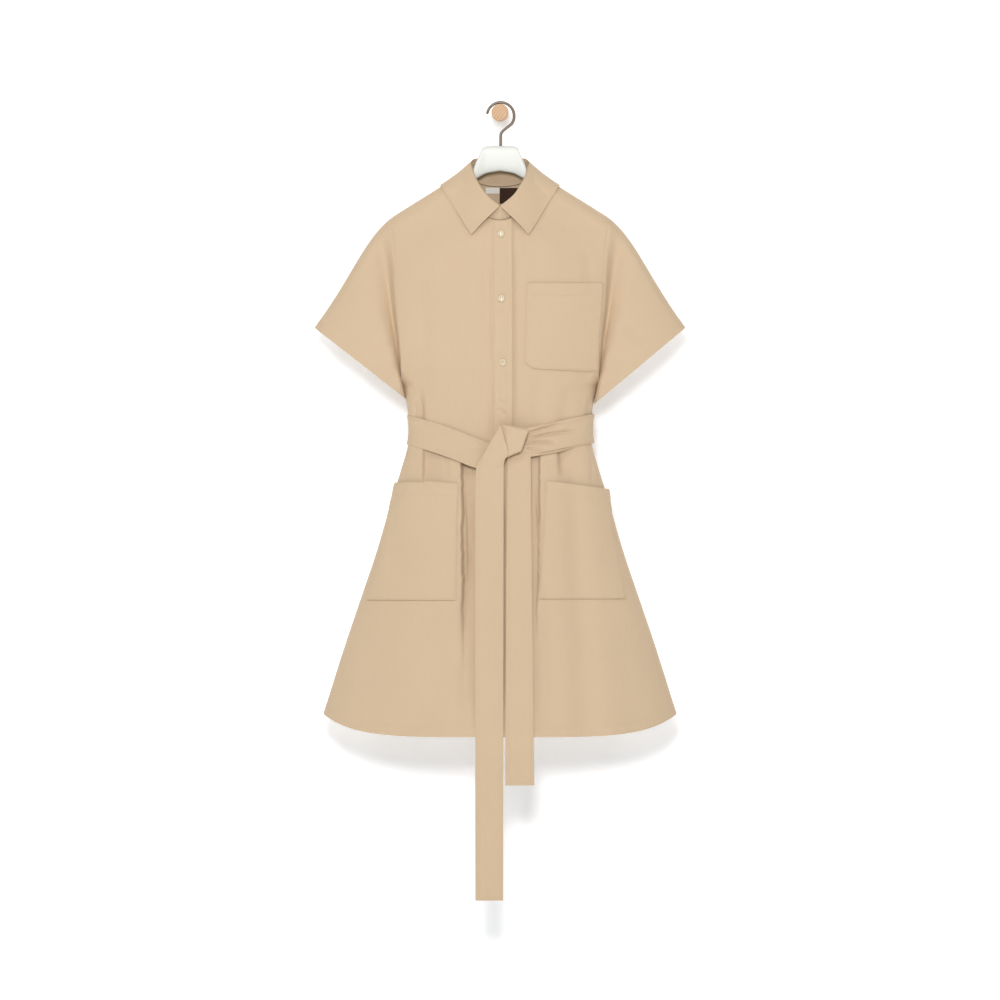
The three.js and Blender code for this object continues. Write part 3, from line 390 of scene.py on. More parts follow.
# %% Crease tables
# Each row: x and z of both ends, bend, width to the left and to the right, depth
FRONT_CREASES = [
    (-14.4, -425, -13.6, -540, 1, 4, 5, 1.6),
    (-150, -408, -141, -476, 0, 10, 8, -2.6),
    (150, -408, 141, -476, 0, 8, 10, -2.6),
    (-6, -473, 12, -486, 0, 3, 4, 2.2),
    (-2, -460, 12, -470, 0, 3, 3, 1.6),
    (-127, -440, -122, -540, 2, 6, 2.5, 7.0),
    (-135, -458, -132, -506, 0, 4, 2, 4.0),
    (143, -445, 139, -540, -2, 2.5, 6, 3.4),
    (22, -170, 22.5, -560, 0, 3, 8, 2.2),
    (-24, -190, -17, -430, 2, 12, 4, 2.6),
    (-95, -250, -82, -500, 8, 16, 20, 2.2),
    (-48, -300, -44, -520, -4, 12, 14, 1.6),
    (-140, -210, -122, -470, 10, 12, 22, 2.4),
    (118, -430, 96, -520, -4, 9, 14, 2.0),
    (62, -420, 52, -525, 4, 10, 12, 1.6),
    (140, -210, 150, -300, -3, 10, 10, 1.4),
    (30, -170, 60, -262, 4, 14, 16, 1.2),
    (-40, -190, -100, -250, 6, 12, 14, 1.0),
]
BACK_CREASES = [
    (-96, -230, -84, -515, 8, 15, 20, 2.4),
    (-30, -210, -38, -520, -6, 14, 16, 1.8),
    (44, -240, 52, -525, 6, 14, 18, 2.0),
    (108, -200, 92, -515, -8, 16, 18, 2.4),
    (-128, -448, -122, -500, 2, 5, 7, 2.4),
    (132, -446, 124, -498, -2, 5, 8, 2.6),
    (-70, -130, -20, -160, 4, 9, 12, 0.9),
    (66, -128, 22, -158, -4, 9, 12, 0.9),
    (-10, -470, 8, -520, 2, 6, 8, 1.4),
]
SKIRT_FRONT_CREASES = [
    (-166, -560, -170, -790, -4, 6, 12, 1.6),
    (-44, -620, -62, -860, 6, 9, 12, 2.0),
    (-30, -700, -48, -1010, 5, 12, 18, 2.4),
    (70, -600, 64, -700, -3, 4, 8, 2.0),
    (146, -545, 147, -600, 0, 3, 5, 2.0),
    (-112, -800, -126, -1010, 6, 18, 22, 2.6),
    (70, -800, 92, -1010, -6, 18, 22, 2.6),
    (196, -800, 226, -1010, -6, 20, 24, 2.6),
    (-200, -800, -224, -1010, 6, 20, 24, 2.4),
    (-90, -535, -84, -590, 1, 4, 6, 1.6),
    (42, -545, 40, -640, 2, 5, 7, 2.2),
    (8.5, -545, 6.5, -1030, 0, 6, 6, 9.0),
    (-55, -596, -50, -770, 2, 2.5, 4, 3.4),
    (-46, -600, -44, -700, -2, 2.5, 4, 2.6),
    (57, -585, 60, -790, 3, 2.5, 4, 3.6),
    (-50, -640, -56, -1020, 0, 12, 26, 5.0),
    (62, -700, 70, -1020, 0, 26, 12, 5.0),
    (96, -540, 100, -590, 2, 4, 5, 1.5),
]
SKIRT_BACK_CREASES = [
    (-70, -545, -78, -680, 3, 7, 12, 2.2),
    (10, -545, 14, -640, 3, 6, 9, 2.0),
    (76, -545, 84, -700, -3, 7, 12, 2.2),
    (-150, -560, -186, -1010, 8, 16, 22, 2.6),
    (0, -700, 10, -1010, 5, 18, 24, 2.6),
    (160, -580, 196, -1010, -8, 16, 22, 2.6),
]


def crease_depth(table, x, z):
    deep = np.zeros(np.broadcast(x, z).shape)
    for x0, z0, x1, z1, bend, left, right, depth in table:
        length = math.hypot(x1 - x0, z1 - z0)
        ux, uz = (x1 - x0) / length, (z1 - z0) / length
        along = ((x - x0) * ux + (z - z0) * uz) / length
        across = (x - x0) * -uz + (z - z0) * ux
        across = across - bend * 4 * along * (1 - along)
        width = np.where(across < 0, left, right)
        taper = smooth(along / 0.3) * smooth((1 - along) / 0.3)
        deep += depth * taper * np.exp(-((across / width) ** 2))
    return deep


print("creases:", sum(map(len, (FRONT_CREASES, BACK_CREASES, SKIRT_FRONT_CREASES, SKIRT_BACK_CREASES))))


# %% Surface of the body
UNDERARM_BLUR = np.array([-30.0, -20, -10, 0, 10, 20, 30])


def depth(side, x, z):
    """How far the cloth's middle stands off the hanger's plane, without the fine creases."""
    s = np.clip(np.abs(x) / body("half", z), 0, 1)
    crown = (1 - s**CROWN) ** (1 / body("round", z))
    arm = body("arm_front" if side < 0 else "arm_back", z)
    full = mix(arm, body("front" if side < 0 else "back", z), crown)
    below = shoulder_z(x) - z
    cap = np.sqrt(1 - (1 - np.clip(below / RIDGE_RADIUS, 0, 1)) ** 2)
    folds = fold_depth(side, x, z) * smooth((1 - s) / 0.12)
    return cap * mix(RIDGE_RADIUS, full, smooth(below / RIDGE_EASE)) - folds


def eased_depth(side, x, z):
    """The same, averaged up and down across the underarm, where the table's rows change fast."""
    s = np.clip(np.abs(x) / body("half", z), 0, 1)
    share = np.exp(-(((z - UNDERARM_Z) / 55) ** 2)) * smooth((0.97 - s) / 0.12)
    weights = np.exp(-((UNDERARM_BLUR / 22) ** 2))
    mean = sum(w * depth(side, x, z + dz) for w, dz in zip(weights, UNDERARM_BLUR)) / weights.sum()
    return mix(depth(side, x, z), mean, share)


def dressed_depth(side, x, z):
    """The same, with the creases. They die out at the side seams and over the shoulder."""
    s = np.clip(np.abs(x) / body("half", z), 0, 1)
    bodice = FRONT_CREASES if side < 0 else BACK_CREASES
    skirt = SKIRT_FRONT_CREASES if side < 0 else SKIRT_BACK_CREASES
    fine = crease_depth(bodice + skirt, x, z)
    return eased_depth(side, x, z) - fine * smooth((1 - s) / 0.06) * smooth((shoulder_z(x) - z) / 60)


def on_body(side, x, z, level=0.0, form=dressed_depth):
    """Points on the body's cloth, moved out by level along its own slope."""
    x, z = np.broadcast_arrays(np.asarray(x, float), np.asarray(z, float))
    step = 0.4
    slope_x = (form(side, x + step, z) - form(side, x - step, z)) / (2 * step)
    slope_z = (form(side, x, z + step) - form(side, x, z - step)) / (2 * step)
    out = np.stack([-slope_x, np.full(x.shape, float(side)), -slope_z], -1)
    out /= np.linalg.norm(out, axis=-1, keepdims=True)
    points = np.stack([x, HANG_Y + side * form(side, x, z), z], -1)
    return points + out * np.asarray(level)[..., None]


print("middle of the waist in front, mm:", on_body(-1, [0.0], [WAIST_Z])[0].round(1))

# %% [markdown]
# ## A thin shell of cloth
# Every panel is a grid of points on its outer face. The shell maker adds the inner face a little
# below it and closes the edges, which keeps the cloth a thin closed wall. It also stores how far
# along the cloth each point lies, so that the weave keeps its scale on every curve.

# %% Grids and their normals
def grid_normals(points, ring):
    if ring:
        along = np.roll(points, -1, 1) - np.roll(points, 1, 1)
    else:
        along = np.gradient(points, axis=1)
    out = np.cross(along, np.gradient(points, axis=0))
    return out / np.maximum(np.linalg.norm(out, axis=-1, keepdims=True), 1e-9)


def lifted(points, outward, level, ring=False):
    """A grid moved by level along its normals, to the side that outward points to."""
    normals = grid_normals(points, ring)
    return points + normals * np.sign(np.sum(normals * outward)) * np.asarray(level)[..., None]


def wrapped(grid):
    """A grid with its first column again at the end, as a ring needs."""
    return np.concatenate([grid, grid[:, :1]], 1)


def numbered(rows, cols):
    return np.arange(rows * cols).reshape(rows, cols)


def quads_of(ids):
    return np.stack([ids[:-1, :-1], ids[:-1, 1:], ids[1:, 1:], ids[1:, :-1]], -1).reshape(-1, 4)


def rim_quads(line, first, second):
    """Faces along a rim, between the layers whose points are numbered from first and second."""
    return np.stack([line[:-1] + first, line[1:] + first, line[1:] + second, line[:-1] + second], -1)


def cloth_lengths(points, ring):
    """Distance of each point along the rows, from the middle, and along the columns, in metres."""
    if ring:
        points = wrapped(points)
    across = np.linalg.norm(np.diff(points, axis=1), axis=-1)
    down = np.linalg.norm(np.diff(points, axis=0), axis=-1)
    u = np.concatenate([np.zeros((len(points), 1)), np.cumsum(across, 1)], 1)
    v = np.concatenate([np.zeros((1, points.shape[1])), np.cumsum(down, 0)], 0)
    middle = points.shape[1] // 2
    return np.stack([u - u[:, middle : middle + 1], v], -1) * MM


# %% Mesh objects
SHARP_EDGE = math.radians(50)


def linked(name, vertices, faces, material, uv):
    """A smooth mesh object in metres, from millimetres, with its material and UV map."""
    mesh = bpy.data.meshes.new(name)
    mesh.from_pydata((vertices * MM).tolist(), [], faces)
    mesh.uv_layers.new(name="cloth").data.foreach_set("uv", np.asarray(uv, float).ravel())
    mesh.polygons.foreach_set("use_smooth", [True] * len(mesh.polygons))
    mesh.set_sharp_from_angle(angle=SHARP_EDGE)
    mesh.materials.append(material)
    return placed(name, mesh)


# %% Shell maker
CLOTH_THICK = 0.7              # drawn thickness of one layer, mm


def shell(name, points, outward, thick=CLOTH_THICK, ring=False, material=None):
    """A thin closed wall of cloth, with this grid as its outer face."""
    normals = grid_normals(points, ring)
    if np.sum(normals * outward) < 0:
        points, normals = points[:, ::-1], -normals[:, ::-1]
    rows, cols = points.shape[:2]
    vertices = np.concatenate([points.reshape(-1, 3), (points - normals * thick).reshape(-1, 3)])
    lengths = cloth_lengths(points, ring)
    ids, marks, layer = numbered(rows, cols), numbered(*lengths.shape[:2]), rows * cols
    if ring:
        ids = wrapped(ids)
    faces = [quads_of(ids), quads_of(ids)[:, ::-1] + layer]
    uv_ids = [quads_of(marks), quads_of(marks)[:, ::-1]]
    rims = [(ids[0], marks[0], layer, 0), (ids[-1], marks[-1], 0, layer)]
    if not ring:
        rims += [(ids[:, 0], marks[:, 0], 0, layer), (ids[:, -1], marks[:, -1], layer, 0)]
    for line, mark, first, second in rims:
        faces.append(rim_quads(line, first, second))
        uv_ids.append(rim_quads(mark, 0, 0))
    uv = lengths.reshape(-1, 2)[np.concatenate(uv_ids).ravel()]
    return linked(name, vertices, np.concatenate(faces).tolist(), material or CLOTH, uv)


# %% Dress a solid
def dress(piece, nodes):
    """Hangs a finished piece under the root, hides the solids that it stands for, and prints its triangles
    and the area of one face.
    """
    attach(piece, "root")
    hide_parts(*nodes)
    triangles = sum(len(p.vertices) - 2 for p in piece.data.polygons)
    one_face = sum(p.area for p in piece.data.polygons) / 2
    print(piece.name, "triangles:", triangles, "area of one face, m2:", round(one_face, 4))


# %% [markdown]
# ## Bodice
# Two fronts and a back are cut from flat cloth and meet at the shoulder and side seams. They could be
# sewn by a cloth simulation, but grids on the body's own surface keep every edge where the photo has
# it. A column of the grid runs from the waist seam to the neck or shoulder and keeps its share of the
# body's width, as the cloth's grain does. Close to a seam the cloth rolls in, as pressed seams do.

# %% Bodice panels
FRONT_SEAM = -10.5             # left front's edge, hidden under the placket
OUTER_LEVEL = 0.6              # outer face of the cloth above its middle


def pressed(distance, drop=0.9, reach=2.2):
    """How far a sewn or folded edge is pressed down at a distance from it."""
    return drop * np.exp(-((distance / reach) ** 2))


def puffed(distance, height, start, end, fade):
    """How far a doubled rim stands up, from its edge to its stitching."""
    return height * smooth(distance / start) * (1 - smooth((distance - end) / fade))


def places_between(low, high):
    """Columns 2.6 mm apart, closer together beside the armhole, with one at the neck's corner."""
    plain = np.arange(0, 166, 2.6)
    one_side = np.unique(np.concatenate([plain, [NECK_HALF, 167, 169, 170.4, 171.4, SHOULDER_HALF]]))
    both = np.concatenate([-one_side[:0:-1], one_side])
    return np.concatenate([[low], both[(both > low + 0.8) & (both < high - 0.8)], [high]])


def bodice_panel(side, low, high):
    place = places_between(low, high)
    share = place / SHOULDER_HALF
    t = np.linspace(0, 1, 84)[:, None]
    top = neck_top(side, place)[None, :]
    z_above = top - (top - UNDERARM_Z) * mix(t**2.2, smooth(t), 0.5)
    z_below = mix(UNDERARM_Z, WAIST_Z + SEAM_GAP / 2, np.linspace(0, 1, 30)[1:, None])
    z = np.concatenate([z_above, z_below + 0 * top], 0)
    x = body("half", z) * share[None, :]
    to_arm = (SHOULDER_HALF - np.abs(place))[None, :] * np.ones(z.shape)
    under = smooth((UNDERARM_Z + 12 - z) / 12)
    roll = pressed(to_arm) * under + pressed(z - WAIST_Z)
    points = on_body(side, x, z, OUTER_LEVEL - roll)
    over = np.abs(place) >= NECK_HALF
    points[0, over, 0] = x[0, over]
    points[0, over, 1] = HANG_Y + side * SEAM_GAP / 2
    points[0, over, 2] = z[0, over] + OUTER_LEVEL
    at_side = np.abs(share) > 0.9999
    low_rows = z[:, -1] <= UNDERARM_Z + 0.01
    for k in np.flatnonzero(at_side):
        points[low_rows, k, 1] = HANG_Y + side * SEAM_GAP / 2
        points[low_rows, k, 0] = x[low_rows, k]
    return points


# %% Sew the bodice
BACKWARD, FORWARD = np.array([0, 1.0, 0]), np.array([0, -1.0, 0])
for name, side, low, high in [
    ("bodice_front_right", -1, -SHOULDER_HALF, FRONT_SEAM - SEAM_GAP / 2),
    ("bodice_front_left", -1, FRONT_SEAM + SEAM_GAP / 2, SHOULDER_HALF),
    ("bodice_back", 1, -SHOULDER_HALF, SHOULDER_HALF),
]:
    piece = shell(name + "_cloth", bodice_panel(side, low, high), FORWARD if side < 0 else BACKWARD)
    dress(piece, [name])

# %% [markdown]
# ## Skirt
# The skirt flares from the waist seam to a narrow turned hem that is level in front and lifts at the
# side seams. Its two panels are grids as well. Even columns would leave corners at the side seams, so
# there are more of them where the section turns sharply, and more at the tucks.

# %% Skirt panels
HEM_DEPTH = 16.0               # the turned hem, from its edge to the stitching
TUCK_CROWDING = 3.0            # more columns where the sharp tucks are


def skirt_panel(side, cols, rows):
    fine = np.linspace(-0.999999, 0.999999, 4001)
    crowd = 1 / np.sqrt(1 - fine**2) + TUCK_CROWDING * smooth((np.abs(fine) - 0.15) / 0.05) * smooth(
        (0.56 - np.abs(fine)) / 0.05)
    filled = np.concatenate([[0], np.cumsum((crowd[1:] + crowd[:-1]) / 2)])
    sine = np.interp(np.linspace(0, filled[-1], cols), filled, fine)
    sine[[0, -1]] = -1, 1
    sine = sine[None, :]
    down = np.linspace(0, 1, rows)[:, None]
    near_hem = np.array([0.972, 0.978, 0.984, 0.99, 0.996])[:, None]
    down = np.unique(np.concatenate([down, near_hem]), axis=0)
    z = mix(WAIST_Z - SEAM_GAP / 2, hem_z(sine), down)
    x = body("half", z) * sine
    to_side = (1 - np.abs(sine)) * body("half", z)
    to_hem = z - hem_z(sine)
    level = OUTER_LEVEL - pressed(to_side) - pressed(WAIST_Z - z)
    level += puffed(to_hem, 0.35, 1.5, HEM_DEPTH - 2, 2)
    points = on_body(side, x, z, level)
    points[:, [0, -1], 1] = HANG_Y + side * SEAM_GAP / 2
    return points


# %% Sew the skirt
dress(shell("skirt_front_cloth", skirt_panel(-1, 300, 120), FORWARD), ["skirt_front"])
dress(shell("skirt_back_cloth", skirt_panel(1, 240, 110), BACKWARD), ["skirt_back"])

# %% [markdown]
# ## Sleeves
# A sleeve is a short wide tube. It could be two flat panels, but rings from the armhole to the cuff
# make it one piece with an open end. The first ring is made from the panels' own edges, so no gap
# shows. The cloth dips softly just outside the armhole seam, and creases fan out from the underarm.

# %% Measures of the sleeves
SLEEVE_TOP = np.array([296.5, 0, -345.5])
SLEEVE_BOTTOM = {-1: np.array([151.5, 0, -458.5]), 1: np.array([151.0, 0, -467.0])}
CUFF_HALF_DEPTH = {-1: 34.0, 1: 30.0}      # in front of the hanger's plane, and behind it
SHOULDER_BULGE = 7.0           # up and out, at the top of the sleeve
BULGE_WAY = (0.82, 0.57)
BULGE_PEAK = 9.5               # brings the highest value of r (1 - r)^3 to one
SLEEVE_TROUGH = 9.0
SLEEVE_STEP = 1.0              # the sleeve's allowance is pressed under the body, which stands proud
SEAM_VALLEY = 8.0              # steeper valley right beside the armhole seam
UNDERARM_FORWARD = 6.0         # the underarm's cuff corner lies a little in front of the side seam
SLEEVE_LEAD, SLEEVE_LEAD_UNDER = 0.15, 0.4
CUFF_HEM = 20.0

# %% Creases of the sleeves
# Each row: share down the armhole at its start and at the cuff, width, depth, and
# where along the sleeve it starts and ends. The first number says front (-1) or back (1).
SLEEVE_CREASES = [
    (-1, 0.93, 0.66, 0.035, 3.2, 0.02, 0.62),
    (-1, 0.80, 0.46, 0.05, 2.2, 0.05, 0.75),
    (-1, 0.55, 0.30, 0.06, 1.4, 0.10, 0.9),
    (1, 0.90, 0.62, 0.04, 3.0, 0.02, 0.6),
    (1, 0.72, 0.40, 0.06, 2.0, 0.05, 0.8),
]
print("creases of a sleeve:", len(SLEEVE_CREASES))


# %% Ring of the armhole
def armhole(count):
    """Ring of the armhole: x, y off the hanger's plane, z, share down and side for each point."""
    t = np.linspace(0, 1, count)
    top = neck_top(-1, SHOULDER_HALF)
    z = top - (top - UNDERARM_Z) * mix(t**2.2, smooth(t), 0.5)
    share = (top - z) / (top - UNDERARM_Z)
    rows = []
    for side in (-1, 1):
        y = side * depth(side, body("half", z), z)
        y[0] = y[-1] = 0
        rows.append(np.stack([body("half", z), y, z, share, np.full(count, side)], -1))
    return np.concatenate([rows[0], rows[1][-2:0:-1]])


# %% Rings of a sleeve
def sleeve_points(sign, count=46, rings=58):
    loop = armhole(count)
    share, side = loop[:, 3], loop[:, 4]
    start = loop[:, :3].copy()
    start[:, 0] += mix(SLEEVE_LEAD, SLEEVE_LEAD_UNDER, share**3)
    arc = np.sqrt(np.maximum(0, 1 - (2 * share - 1) ** 2))
    cuff = mix(SLEEVE_TOP, SLEEVE_BOTTOM[sign], share[:, None])
    cuff[:, 1] = side * np.where(side < 0, CUFF_HALF_DEPTH[-1], CUFF_HALF_DEPTH[1]) * arc
    r = np.linspace(0, 1, rings)
    r = np.unique(np.concatenate([r, [0.004, 0.01, 0.85, 0.862, 0.874, 0.886, 0.992]]))[:, None]
    bow = SHOULDER_BULGE * BULGE_PEAK * r * (1 - r) ** 3 * (1 - share) ** 3
    dip = np.exp(-(((r - 0.2) / 0.14) ** 2)) * arc * smooth(r / 0.1)
    points = mix(start[None], cuff[None], r[..., None])
    points[..., 0] += bow * BULGE_WAY[0]
    points[..., 2] += bow * BULGE_WAY[1]
    valley = np.exp(-(((r - 0.13) / 0.08) ** 2)) * arc * smooth(r / 0.05)
    points[..., 1] -= side * (SLEEVE_TROUGH * dip + SEAM_VALLEY * valley) * mix(0.85, 1.15, share)
    points[..., 1] -= UNDERARM_FORWARD * smooth(r / 0.6) * smooth((share - 0.8) / 0.2)
    for crease_side, at, at_cuff, width, deep, begin, end in SLEEVE_CREASES:
        away = (share - mix(at, at_cuff, r)) / width
        taper = smooth((r - begin) / 0.2) * smooth((end - r) / 0.3)
        points[..., 1] -= side * (side == crease_side) * deep * taper * np.exp(-(away**2))
    points[..., 1] += HANG_Y
    points[..., 0] *= sign
    return points, r[:, 0]


# %% Sew the sleeves
def outward_of(points, centre):
    away = points - centre
    return away / np.linalg.norm(away, axis=-1, keepdims=True)


for sign, name in ((-1, "sleeve_right"), (1, "sleeve_left")):
    points, r = sleeve_points(sign)
    outward = outward_of(points, points.mean(1, keepdims=True))
    cuff_length = np.linalg.norm(points[-1] - points[0], axis=-1)
    to_cuff = (1 - r[:, None]) * cuff_length[None]
    from_seam = r[:, None] * cuff_length[None]
    level = OUTER_LEVEL - pressed(from_seam, SLEEVE_STEP, 2.6) + puffed(to_cuff, 0.35, 1.5, CUFF_HEM - 2, 2)
    dress(shell(name + "_cloth", lifted(points, outward, level, True), outward, ring=True), [name])

# %% [markdown]
# ## Patches on the cloth
# The placket is a doubled strip and the pockets are patches, all sewn on a panel. A Shrinkwrap modifier
# could lay them on it. Points of the body's own surface, moved out a little, are exact and keep their
# edges straight. A sewn edge is pressed down, and an open one, such as a pocket's mouth, stands proud.

# %% Front placket
PLACKET_LEFT, PLACKET_RIGHT = -12.5, 18.5
PLACKET_LEVEL = 2.75           # outer face above the bodice's middle
PLACKET_THICK = 1.2


def placket_grid():
    x = np.linspace(PLACKET_LEFT, PLACKET_RIGHT, 34)[None, :]
    v = np.linspace(0, 1, 190)[:, None]
    z = mix(WAIST_Z + 1, neck_top(-1, x) - 1, v)
    level = PLACKET_LEVEL + 2.2 * smooth((x - 6) / 12)
    level = level - pressed(x - PLACKET_LEFT, 1.1, 3.5) - pressed(PLACKET_RIGHT - x, 0.2, 0.8)
    buttonhole_pull = 0.35 * np.sin(z / 9.0) * np.exp(-((x - PLACKET_LEFT) / 5) ** 2)
    return on_body(-1, x, z, level + buttonhole_pull)


placket = placket_grid()
dress(shell("front_placket_cloth", placket, FORWARD, PLACKET_THICK), ["front_placket"])


# %% Pocket maker
POCKET_HEM = 19.0              # from the mouth to its stitching
POCKET_THICK = 0.8
CHEST_LEVEL, HIP_LEVEL = 2.9, 2.95         # outer face above the middle of the panel


def pocket_grid(inner, outer, z_of, level, cols=76, rows=64):
    """Grid of a patch pocket, from its bottom row up to its mouth, finer towards the side seam."""
    u = np.linspace(0, 1, cols)[None, :]
    u = mix(u, np.sin(u * math.pi / 2), 0.4)
    v = np.linspace(0, 1, rows)[:, None]
    z = z_of(u, v) + 0 * u
    share = mix(inner(v), outer(v), u)
    x = share * body("half", z)
    wide = np.linalg.norm([x[0, -1] - x[0, 0], z[0, -1] - z[0, 0]])
    tall = abs(z[-1, 0] - z[0, 0])
    to_side = np.minimum(u, 1 - u) * wide
    sewn = np.minimum(to_side, v * tall)
    ripple = 0.22 * np.sin(v * tall / 4.1 + 1.3 * np.sin(v * 9)) * np.exp(-((sewn / 7) ** 2))
    mouth = 0.45 * smooth((v * tall - (tall - POCKET_HEM)) / 1.5)
    mouth -= 0.35 * np.exp(-(((1 - v) * tall / 1.2) ** 2))
    edges = pressed(to_side, 0.9, 1.8) + pressed(v * tall, 0.4, 1)
    return on_body(-1, x, z, level(u, v) - edges + ripple + mouth)


# %% Chest pocket
CHEST = dict(left=43.5, left_bottom=39.5, top=-274, bottom=-410, bottom_right=-415, cut=9, outer=0.993)


def chest_pocket_z(u, v):
    low = mix(CHEST["bottom"], CHEST["bottom_right"], u) + CHEST["cut"] * np.clip(1 - u * 9, 0, 1)
    return mix(low, CHEST["top"], v)


chest_pocket = pocket_grid(
    lambda v: mix(CHEST["left_bottom"] / body("half", -410.0), CHEST["left"] / body("half", -274.0), v),
    lambda v: CHEST["outer"] + 0 * v, chest_pocket_z, lambda u, v: CHEST_LEVEL + 0 * u * v)
dress(shell("chest_pocket_cloth", chest_pocket, FORWARD, POCKET_THICK), ["chest_pocket"])

# %% Hip pockets
# Heights of the mouth, at its inner end and its side, and of the bottom; edges as shares of the
# body's half width; and how much of the gape is left at the side seam
HIP_POCKETS = {
    "hip_pocket_right": dict(sign=-1, top=-594, top_side=-594, bottom=-781, inner_top=0.4,
                             outer_top=0.999, inner_bottom=0.313, outer_bottom=0.95, side_gape=0.25),
    "hip_pocket_left": dict(sign=1, top=-590, top_side=-605, bottom=-779, inner_top=0.445,
                            outer_top=0.999, inner_bottom=0.274, outer_bottom=0.9, side_gape=0.8),
}
POCKET_GAPE = 5.0              # how far the middle of a mouth stands off


def gape(u, v, at_side):
    """How far the mouth stands off; at the side seam, where it is sewn, a share of that."""
    towards_side = mix(1, at_side, smooth((u - 0.75) / 0.25))
    return POCKET_GAPE * smooth((v - 0.55) / 0.45) * smooth(u / 0.5) * towards_side


pocket_grids = {"chest_pocket": chest_pocket}
for name, p in HIP_POCKETS.items():
    grid = pocket_grid(
        lambda v: p["sign"] * mix(p["inner_bottom"], p["inner_top"], v),
        lambda v: p["sign"] * mix(p["outer_bottom"], p["outer_top"], v),
        lambda u, v: mix(p["bottom"], mix(p["top"], p["top_side"], u), v),
        lambda u, v: HIP_LEVEL + gape(u, v, p["side_gape"]))
    pocket_grids[name] = grid
    dress(shell(name + "_cloth", grid, FORWARD, POCKET_THICK), [name])

# %% [markdown]
# ## Collar
# A shirt collar is a stand that rises from the neck seam and a leaf that folds over it. The fold
# line goes from the middle of the front, over the shoulder, to the middle of the back, and the
# leaf's outer edge lies on the shoulders. Both are short tables with one row for each place, which
# are easier to fit to a photo than a patch modelled point by point.

# %% Lines of the collar
FOLD_LINE = np.array([          # share round the neck, x, y off the hanger's plane, z
    (0.00, 0, -50, -151), (0.15, 20.8, -43, -133), (0.26, 30.4, -37, -120), (0.37, 37.5, -28, -107),
    (0.48, 43, -15, -93), (0.60, 45, 0, -82), (0.74, 40, 15, -75), (0.88, 21, 25, -73),
    (1.00, 0, 28, -72)], float)
LEAF_EDGE = np.array([          # share round the neck, x, z
    (0.00, 43.5, -196.5), (0.15, 56.5, -176.5), (0.30, 69.5, -156.5), (0.45, 82.5, -136.5),
    (0.57, 94.5, -119.5), (0.68, 89, -122), (0.80, 62, -128), (0.90, 34, -132), (1.00, 0, -133)], float)
SHOULDER_SHARE = 0.57
LEAF_LIFT = 2.75
COLLAR_THICK = 1.3
LEAF_HALF_LENGTH = 175.0       # from a front end to the middle of the back, near the fold
LEAF_SPRING = 2.6              # the free edge stands off the front, more so at the points
NECK_MIDDLE = np.array([0, HANG_Y, -200.0])
print("places on the fold line and on the leaf's edge:", len(FOLD_LINE), len(LEAF_EDGE))


# %% Both edges of the leaf
def fold_point(t):
    place = [curve_through(FOLD_LINE[:, 0], FOLD_LINE[:, k], t) for k in (1, 2, 3)]
    return np.stack([place[0], HANG_Y + place[1], place[2]], -1)


def leaf_edge_point(t):
    x = curve_through(LEAF_EDGE[:, 0], LEAF_EDGE[:, 1], t)
    z = np.minimum(curve_through(LEAF_EDGE[:, 0], LEAF_EDGE[:, 2], t), shoulder_z(x))
    made = np.where((t < SHOULDER_SHARE)[:, None], on_body(-1, x, z - 0.3, LEAF_LIFT, depth),
                    on_body(1, x, z - 0.3, LEAF_LIFT, depth))
    ridge = shoulder_z(x) - z < 0.5
    facing = np.array([SHOULDER_SLOPE, 0, 1]) / math.hypot(SHOULDER_SLOPE, 1)
    on_ridge = np.stack([x, HANG_Y + 0 * x, z], -1) + facing * LEAF_LIFT
    return np.where(ridge[:, None], on_ridge, made)


# %% Clear of the bodice
def clear_of_bodice(points, lift):
    """Moves points that lie closer to the bodice than lift out to it."""
    for side in (-1, 1):
        x, z = points[..., 0], points[..., 2]
        here = (points[..., 1] < HANG_Y) == (side < 0)
        here &= z <= np.minimum(neck_top(side, x), shoulder_z(x) - 0.4)
        safe_z = np.where(here, z, -200.0)
        out = on_body(side, x, safe_z, 1.0, depth) - on_body(side, x, safe_z, 0.0, depth)
        clear = (np.abs(points[..., 1] - HANG_Y) - depth(side, x, safe_z)) * np.abs(out[..., 1])
        push = np.where(here & (clear < lift), lift - clear, 0)
        points = points + out * push[..., None]
    return points


# %% Collar leaf
def collar_leaf_grid(cols=170, rows=34):
    e = np.linspace(-1, 1, cols)
    t, sign = 1 - np.abs(e), np.where(e < 0, -1.0, 1.0)
    start, end = fold_point(t), leaf_edge_point(t)
    start[:, 0] += 0.6 * (1 - t)
    start[:, 0] *= sign
    end[:, 0] *= sign
    v = np.linspace(0, 1, rows)[:, None]
    points = mix(start[None], end[None], v[..., None])
    away = points - [0, HANG_Y, 0]
    away[..., 2] = 0
    away /= np.maximum(np.linalg.norm(away, axis=-1, keepdims=True), 1e-6)
    rise = 3.5 * np.sin(np.pi * np.sqrt(v)) * np.abs(1 - t / SHOULDER_SHARE)
    spring = LEAF_SPRING * smooth(v / 0.8) * smooth(1 - t / SHOULDER_SHARE)
    points += away * (1.1 * (1 - v) + rise + spring)[..., None]
    points[..., 2] += 0.5 * (1 - v)
    points = clear_of_bodice(points, LEAF_LIFT)
    width = np.linalg.norm(end - start, axis=-1)[None, :]
    edge = np.minimum((1 - v) * width, (1 - np.abs(e))[None, :] * LEAF_HALF_LENGTH)
    return lifted(points, outward_of(points, NECK_MIDDLE), 0.35 + puffed(edge, 0.4, 1.4, 3.5, 1.5))


collar_leaf = collar_leaf_grid()
leaf_out = outward_of(collar_leaf, NECK_MIDDLE)
dress(shell("collar_leaf_cloth", collar_leaf, leaf_out, COLLAR_THICK), ["collar_leaf"])


# %% Collar stand
STAND_END = 16.5               # half the gap between the stand's ends in front
STAND_THICK = 1.0


